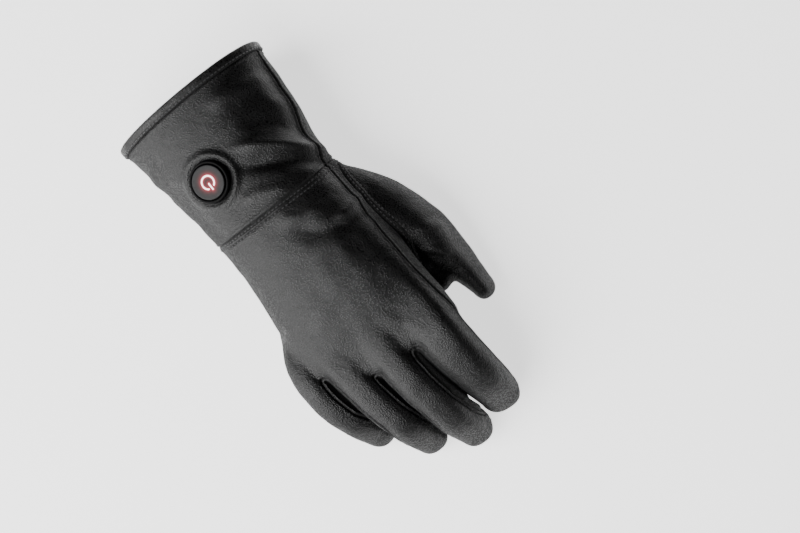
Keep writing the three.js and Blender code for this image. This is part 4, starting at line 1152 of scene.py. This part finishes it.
black_leather = leather("leather", (0.0009, 0.0009, 0.00095), 0.21)
patch_leather = leather("patch_leather", (0.0016, 0.0016, 0.0017), 0.36, grain=1.5, depth=1.5)
binding_leather = leather("binding_leather", (0.0016, 0.0016, 0.0017), 0.25, grain=1.1, depth=0.7)
lining = woven("lining", (0.02, 0.02, 0.021), 1.4)
tape_cloth = woven("zip_tape_cloth", (0.014, 0.014, 0.0145), 0.9)
thread = smooth_material("thread", (0.03, 0.03, 0.031), 0.33, grit=0.00006, size=2500.0, shine=0.45)
casing = smooth_material("casing", (0.001, 0.001, 0.0011), 0.55, shine=0.08)
cap_grey = smooth_material(
    "cap_grey", (0.004, 0.004, 0.0042), 0.42, grit=0.00001, tint=(1.0, 0.06, 0.09), strength=1.1
)
lit = light_material("symbol_light")
gunmetal = smooth_material("gunmetal", (0.06, 0.06, 0.065), 0.32, metal=0.9, grit=0.00001)

# Leather panels, and the walls at the edges of the button's hole and the zip's window

panels = {
    "cuff_back": (in_cuff & on_top & kept & (pad > PAD_EDGE), None),
    "button_pad": (in_cuff & on_top & (pad > 0) & (pad < PAD_EDGE), ("button", 4.5)),
    "cuff_palm": (in_cuff & ~on_top & kept & (skin.mean_of("zip") >= 0), ("zip", 1.9)),
    "hand_back": (in_hand & on_top, None),
    "hand_palm": (in_hand & ~on_top & on_palm & ~in_patch, None),
    "thumb": (in_thumb, None),
    "palm_patch": (in_patch, None),
    "fourchette_index_middle": (strip & ~past_middle, None),
    "fourchette_middle_ring": (strip & past_middle & ~past_ring, None),
    "fourchette_ring_little": (strip & past_ring, None),
}
for name, (chosen, wall) in panels.items():
    material = patch_leather if name == "palm_patch" else black_leather
    piece = add(panel(skin, chosen, "leather_" + name, normals, wall), "glove", material, [name])

# Inner faces of the leather, coarser, open at the hem
INNER_HEM = 2.0
coarse = 2 if STEP < 1 else 1
inside = field.both[::coarse, ::coarse, ::coarse] + LEATHER + 0.2
inner = Skin(*surface_nets(inside, GRID_LOW, field.step * coarse))
for _ in range(2):
    inner.points = 0.5 * inner.points + 0.5 * inner.mean(inner.points, inner.edges())
inner.values["hem"] = inner.points[:, 1] - INNER_HEM
inner.cut("hem")
inner_out = inner.normals()
inner.points += np.minimum(broad_height(inner.points, inner_out), 0)[:, None] * inner_out
inner_normals = -inner.normals()
inner.faces = inner.faces[:, ::-1]
inner.values["painted_shade"] = np.zeros(len(inner.points))
add(panel(inner, inner.mean_of("hem") > 0, "inner_faces", inner_normals), "glove", lining)

# Hem binding, folded over the edge: how far it lies outside the trunk, and its place from the hem
BINDING = [(0.15, 6.5), (1.0, 6.1), (1.55, 3.6), (1.5, 0.9), (0.2, 0.05)]
BINDING += [(-1.8, 0.05), (-3.2, 1.2), (-3.5, 4.6), (-2.5, 5.6)]
BINDING_ROUND = 1.1
BINDING_INSIDE = -1.5
BINDING_SIDES = 240
# Painted shade in the binding's grooves: amount, place from the hem and width
BINDING_GROOVE_SHADE = [(1.0, 6.4, 0.5), (0.8, 5.1, 0.5)]
CUFF_MIDDLE = np.array([0.5, 0, 31.0])

turns = np.linspace(0, 2 * math.pi, BINDING_SIDES + 1)[:-1]
rings, groove_shade = [], []
for grow, at in rounded(BINDING, BINDING_ROUND):
    outside = grow > BINDING_INSIDE
    ring = trunk_point(max(at, 0.0), turns, grow)
    ring[:, 1] = at
    ring[:, 2] = np.maximum(ring[:, 2], 0.03 if outside else LEATHER + 0.3)
    wobble = 0.18 * waves(ring, 9, 3) + 0.1 * waves(ring, 4, 4)
    push = unit((ring - CUFF_MIDDLE) * [1, 0, 1])
    ring += wobble[:, None] * push * (0.6 if outside else 0.2)
    ring[:, 2] = np.maximum(ring[:, 2], 0.03)
    rings.append(ring)
    # Painted shade along the grooves, on the outer rings of the binding
    groove_shade.append(np.full(BINDING_SIDES, rolls(at, BINDING_GROOVE_SHADE) if grow > 0 else 0.0))
faces, painted_shade = ring_faces(len(rings), BINDING_SIDES), np.clip(np.concatenate(groove_shade), 0, 1)
binding = to_object("leather_cuff_binding", np.concatenate(rings), faces, painted_shade=painted_shade)
add(binding, "glove", binding_leather, ["cuff_binding"])

# Threads of the hem, in the groove of the binding
HEM_SEWN = 5.2
hem_row = trunk_point(np.full(400, HEM_SEWN), np.linspace(0, 2 * math.pi, 400), 1.3)
hem_out = unit(np.cross([0, -1.0, 0], np.gradient(hem_row, axis=0)))
raised = hem_row[:, 2] > 0.5
STITCHES.append((*resample(hem_row[raised], hem_out[raised], STITCH), STITCH * 0.7, 0.4))

# Threads of the other seams
for level in WRIST_SEWN:
    sew(skin, normals, line_edges(skin, "wrist", level, thumb < 0.3))
for level in THUMB_SEWN:
    sew(skin, normals, line_edges(skin, "thumb", level, wrist > 1))
sew(skin, normals, line_edges(skin, "zip", ZIP_SEWN, v["under"] > ZIP_UNDER), radius=0.24)
sew(skin, normals, line_edges(skin, "patch", PATCH_SEWN, (thumb < 0) & (v["bottom"] < 0)), radius=0.24)
add(thread_object("stitches", STITCHES), "glove", thread)

# Power button: profiles of its bezel and its dished cap, as radius and height
BEZEL = [(12.8, -3), (12.8, 2.7), (12.3, 3.4), (11.4, 3.4), (10.95, 2.9), (10.95, -1.5), (0, -1.5)]
CAP_FLAT = 9.6
CAP_TOP = 4.12
CAP_DISH = 0.1
CAP_EDGE = [(CAP_FLAT, 4.22), (10.35, 4.15), (10.62, 3.3), (10.62, -0.2)]
# Its symbol: the ring's radius, half of its opening, the bar's ends, and the stroke's radius
SYMBOL_RING = 4.0
SYMBOL_OPENING = math.radians(32)
SYMBOL_BAR = (0.9, 4.9)
STROKE = 0.45
STROKE_FLAT = 0.45
STROKE_HEIGHT = 4.16
STROKE_SIDES = 12
origin, ax, ay, az = BUTTON_FRAME


def lathe(name, profile, sides=96):
    """Piece turned about the button's axis, from a profile that starts or ends on the axis."""
    turn = np.arange(sides) * 2 * math.pi / sides
    round_axis = np.outer(np.cos(turn), ax) + np.outer(np.sin(turn), ay)
    rings = [origin + r * round_axis + h * az for r, h in profile if r > 0]
    starts = profile[0][0] == 0
    ring = np.arange(sides) + (0 if starts else (len(rings) - 1) * sides)
    fan = np.stack([np.full(sides, len(rings) * sides), ring, np.roll(ring, -1)], 1)
    faces = ring_faces(len(rings), sides) + (fan[:, ::-1] if starts else fan).tolist()
    tip = origin + profile[0 if starts else -1][1] * az
    return to_object(name, np.concatenate([*rings, [tip]]), faces)


def stroke(name, path):
    """A flattened rounded stroke along a path on the cap, in the button's own axes."""
    path = np.asarray(path, float)
    way = unit(np.gradient(path, axis=0))
    side = np.stack([-way[:, 1], way[:, 0]], -1)
    tips = np.linspace(0.2, 1.5, 6)
    stations = [(path[0] - way[0] * STROKE * math.sin(a), side[0], math.cos(a)) for a in tips[::-1]]
    stations += [(p, s, 1.0) for p, s in zip(path, side)]
    stations += [(path[-1] + way[-1] * STROKE * math.sin(a), side[-1], math.cos(a)) for a in tips]
    angle = np.arange(STROKE_SIDES) * 2 * math.pi / STROKE_SIDES
    rings = []
    for spot, s, scale in stations:
        flat = np.outer(np.cos(angle) * STROKE * scale, s) + spot
        high = STROKE_HEIGHT + np.sin(angle) * STROKE_FLAT * STROKE * scale
        rings.append(origin + flat[:, :1] * ax + flat[:, 1:] * ay + high[:, None] * az)
    return to_object(name, np.concatenate(rings), ring_faces(len(rings), STROKE_SIDES))


add(lathe("bezel", rounded(BEZEL, 0.5)), "glove", casing, ["button_bezel"])
radii = np.concatenate([[0], np.linspace(0.4, CAP_FLAT, 40)])
dish = [(float(r), CAP_TOP + CAP_DISH * (r / CAP_FLAT) ** 2) for r in radii]
cap = lathe("cap", dish + rounded(CAP_EDGE, 0.6)[1:])
cap_points = np.array([vert.co[:] for vert in cap.data.vertices]) * 1000 - ORIGIN - origin
px, py = cap_points @ ax, cap_points @ ay
past = np.maximum(SYMBOL_OPENING - np.abs(np.arctan2(px, py)), 0)
to_ring = np.hypot(np.hypot(px, py) - SYMBOL_RING, SYMBOL_RING * past)
to_bar = np.hypot(px, np.maximum(np.maximum(SYMBOL_BAR[0] - py, py - SYMBOL_BAR[1]), 0))
set_value(cap.data, "glow", rolls(np.minimum(to_ring, to_bar), [(0.75, 0, 0.9), (0.22, 0, 2.2)]))
add(cap, "button", cap_grey, ["button_cap"])
turns = np.linspace(SYMBOL_OPENING, 2 * math.pi - SYMBOL_OPENING, 60)
arc = stroke("symbol_arc", np.stack([np.sin(turns), np.cos(turns)], -1) * SYMBOL_RING)
add(arc, "button", lit, ["power_arc"])
bar = stroke("symbol_bar", [(0, at) for at in np.linspace(*SYMBOL_BAR, 12)])
add(bar, "button", lit, ["power_bar"])

# Zip: tape behind the window, coil teeth up to the slider, slider and pull
TAPE_REACH = 4
TAPE_UNDER = LEATHER + 0.45
SLIDER = np.array([38.0, ZIP_Y, 5.6])
SLIDER_HALF = 5.2
TOOTH_PITCH = 0.85
TOOTH_HALF = 1.25
TOOTH_LEAN = 0.85
TOOTH_WIDTH, TOOTH_HEIGHT = 0.38, 0.55
# A tooth's rings: place along it and size; and the corners of a ring
TOOTH_RINGS = [(-0.95, 0.7), (-0.35, 1.0), (0.35, 1.0), (0.95, 0.7)]
TOOTH_CORNERS = [(1, 0.0), (0.6, 0.8), (-0.6, 0.8), (-1, 0.0), (-0.6, -0.8), (0.6, -0.8)]
ALONG = np.array([0, 1.0, 0])

tape = Skin(skin.points - TAPE_UNDER * outward, skin.faces)
tape.values["painted_shade"] = np.zeros(len(skin.points))
tape_zone = (skin.mean_of("zip") < TAPE_REACH) & in_cuff
add(panel(tape, tape_zone, "zip_tape_cloth", normals), "glove", tape_cloth, ["zip_tape"])

zip_row = trunk_point(np.full(500, ZIP_Y), np.linspace(math.pi, 2 * math.pi, 500), -1.1)
zip_row = zip_row[(np.abs(zip_row[:, 0]) < ZIP_HALF - 1) & (zip_row[:, 2] < 24)]
zip_row[:, 2] = np.maximum(zip_row[:, 2], 1.0)
zip_out = unit(np.cross(np.gradient(zip_row, axis=0), ALONG))
zip_out *= -np.sign(zip_out[len(zip_out) // 2, 2])
spots, ways, outs = resample(zip_row, zip_out, TOOTH_PITCH)
tooth_points, tooth_faces = [], []
for i, (spot, way, out_way) in enumerate(zip(spots, unit(ways), unit(outs))):
    if np.linalg.norm(spot - SLIDER) < SLIDER_HALF:
        continue
    lean = TOOTH_LEAN if i % 2 else -TOOTH_LEAN
    start, sides, last = len(tooth_points), len(TOOTH_CORNERS), len(TOOTH_RINGS) - 1
    for place, size in TOOTH_RINGS:
        ring = spot + ALONG * (lean + place * TOOTH_HALF)
        for c, s in TOOTH_CORNERS:
            tooth_points.append(ring + way * (TOOTH_WIDTH * size * c) + out_way * (TOOTH_HEIGHT * size * s))
    tooth_faces += ring_faces(len(TOOTH_RINGS), sides, start)
    tooth_faces.append([start + k for k in range(sides - 1, -1, -1)])
    tooth_faces.append([start + last * sides + k for k in range(sides)])
add(to_object("zip_coil", tooth_points, tooth_faces), "glove", gunmetal, ["zip_teeth"])

for name in ("zip_slider", "zip_pull"):
    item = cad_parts[name]
    item.data.materials.clear()
    item.data.materials.append(gunmetal)
    bevel = item.modifiers.new("edge", "BEVEL")
    bevel.width = 0.00018
    bevel.segments = 2
    bevel.limit_method = "ANGLE"

# Camera: the middle of the hem, where the photograph shows it, and the photograph's size, in pixels
PIVOT = np.array([0.0, 0.0, 31.0])
PIVOT_PIXEL = np.array([190.0, 98.0])
IMAGE_MIDDLE = np.array([400, 266.5])
IMAGE_WIDTH = 800
MM_PER_PIXEL = 0.61
DISTANCE = 1500.0
SENSOR = 36
# How far the view leans from straight down, and the picture's way to the right in the pattern
LEAN_X, LEAN_Y = -math.radians(3), math.radians(12)
PICTURE_RIGHT = np.array([-0.777, 0.63, 0.0])


def across(way, direction):
    """The part of a way that lies across a direction, 1 long."""
    return unit(way - direction * (way @ direction))


back = np.array([math.sin(LEAN_X), math.sin(LEAN_Y), 0.0])
back[2] = math.sqrt(1 - back @ back)
right = across(PICTURE_RIGHT, back)
eye = PIVOT + DISTANCE * back
aim_x, aim_y = MM_PER_PIXEL * (IMAGE_MIDDLE - PIVOT_PIXEL)
look = eye - (PIVOT + aim_x * right - aim_y * np.cross(back, right))
reach = np.linalg.norm(look)
look = unit(look)
right = across(right, look)

camera_data = bpy.data.cameras.new("camera")
camera = bpy.data.objects.new("camera", camera_data)
bpy.context.scene.collection.objects.link(camera)
bpy.context.scene.camera = camera
camera_data.sensor_width = SENSOR
camera_data.lens = SENSOR * reach / (IMAGE_WIDTH * MM_PER_PIXEL)
turned = Matrix([right, np.cross(look, right), look]).transposed().to_4x4()
camera.matrix_world = Matrix.Translation(metres(eye)) @ turned

# Studio: lights in metres and watts, a dim world and a pale floor
LIGHT_TARGET = (0, 0, 0.03)
FLOOR_HALF = 30


def area_light(name, place, size, power):
    data = bpy.data.lights.new(name, "AREA")
    data.shape = "RECTANGLE"
    data.size, data.size_y = size
    data.energy = power
    light = bpy.data.objects.new(name, data)
    light.location = place
    light.rotation_euler = (Vector(LIGHT_TARGET) - Vector(place)).to_track_quat("-Z", "Y").to_euler()
    bpy.context.scene.collection.objects.link(light)


area_light("key", (1.24, 0.05, 1.04), (2.2, 1.8), 92)
area_light("rim", (-1.1, 0.9, 0.5), (0.3, 0.8), 1.8)

world = bpy.data.worlds.new("studio")
bpy.context.scene.world = world
world.use_nodes = True
background = world.node_tree.nodes["Background"]
background.inputs["Color"].default_value = (1, 1, 1, 1)
background.inputs["Strength"].default_value = 0.03

corners = [(-1, -1, 0), (1, -1, 0), (1, 1, 0), (-1, 1, 0)]
floor_mesh = bpy.data.meshes.new("floor")
floor_mesh.from_pydata([[FLOOR_HALF * c for c in corner] for corner in corners], [], [(0, 1, 2, 3)])
floor = bpy.data.objects.new("floor", floor_mesh)
bpy.context.scene.collection.objects.link(floor)
pale = {"Base Color": (0.9, 0.9, 0.9, 1), "Roughness": 0.9}
pale |= {"Emission Color": (1, 1, 1, 1), "Emission Strength": 1.5}
floor_mesh.materials.append(Look("floor").done(pale))
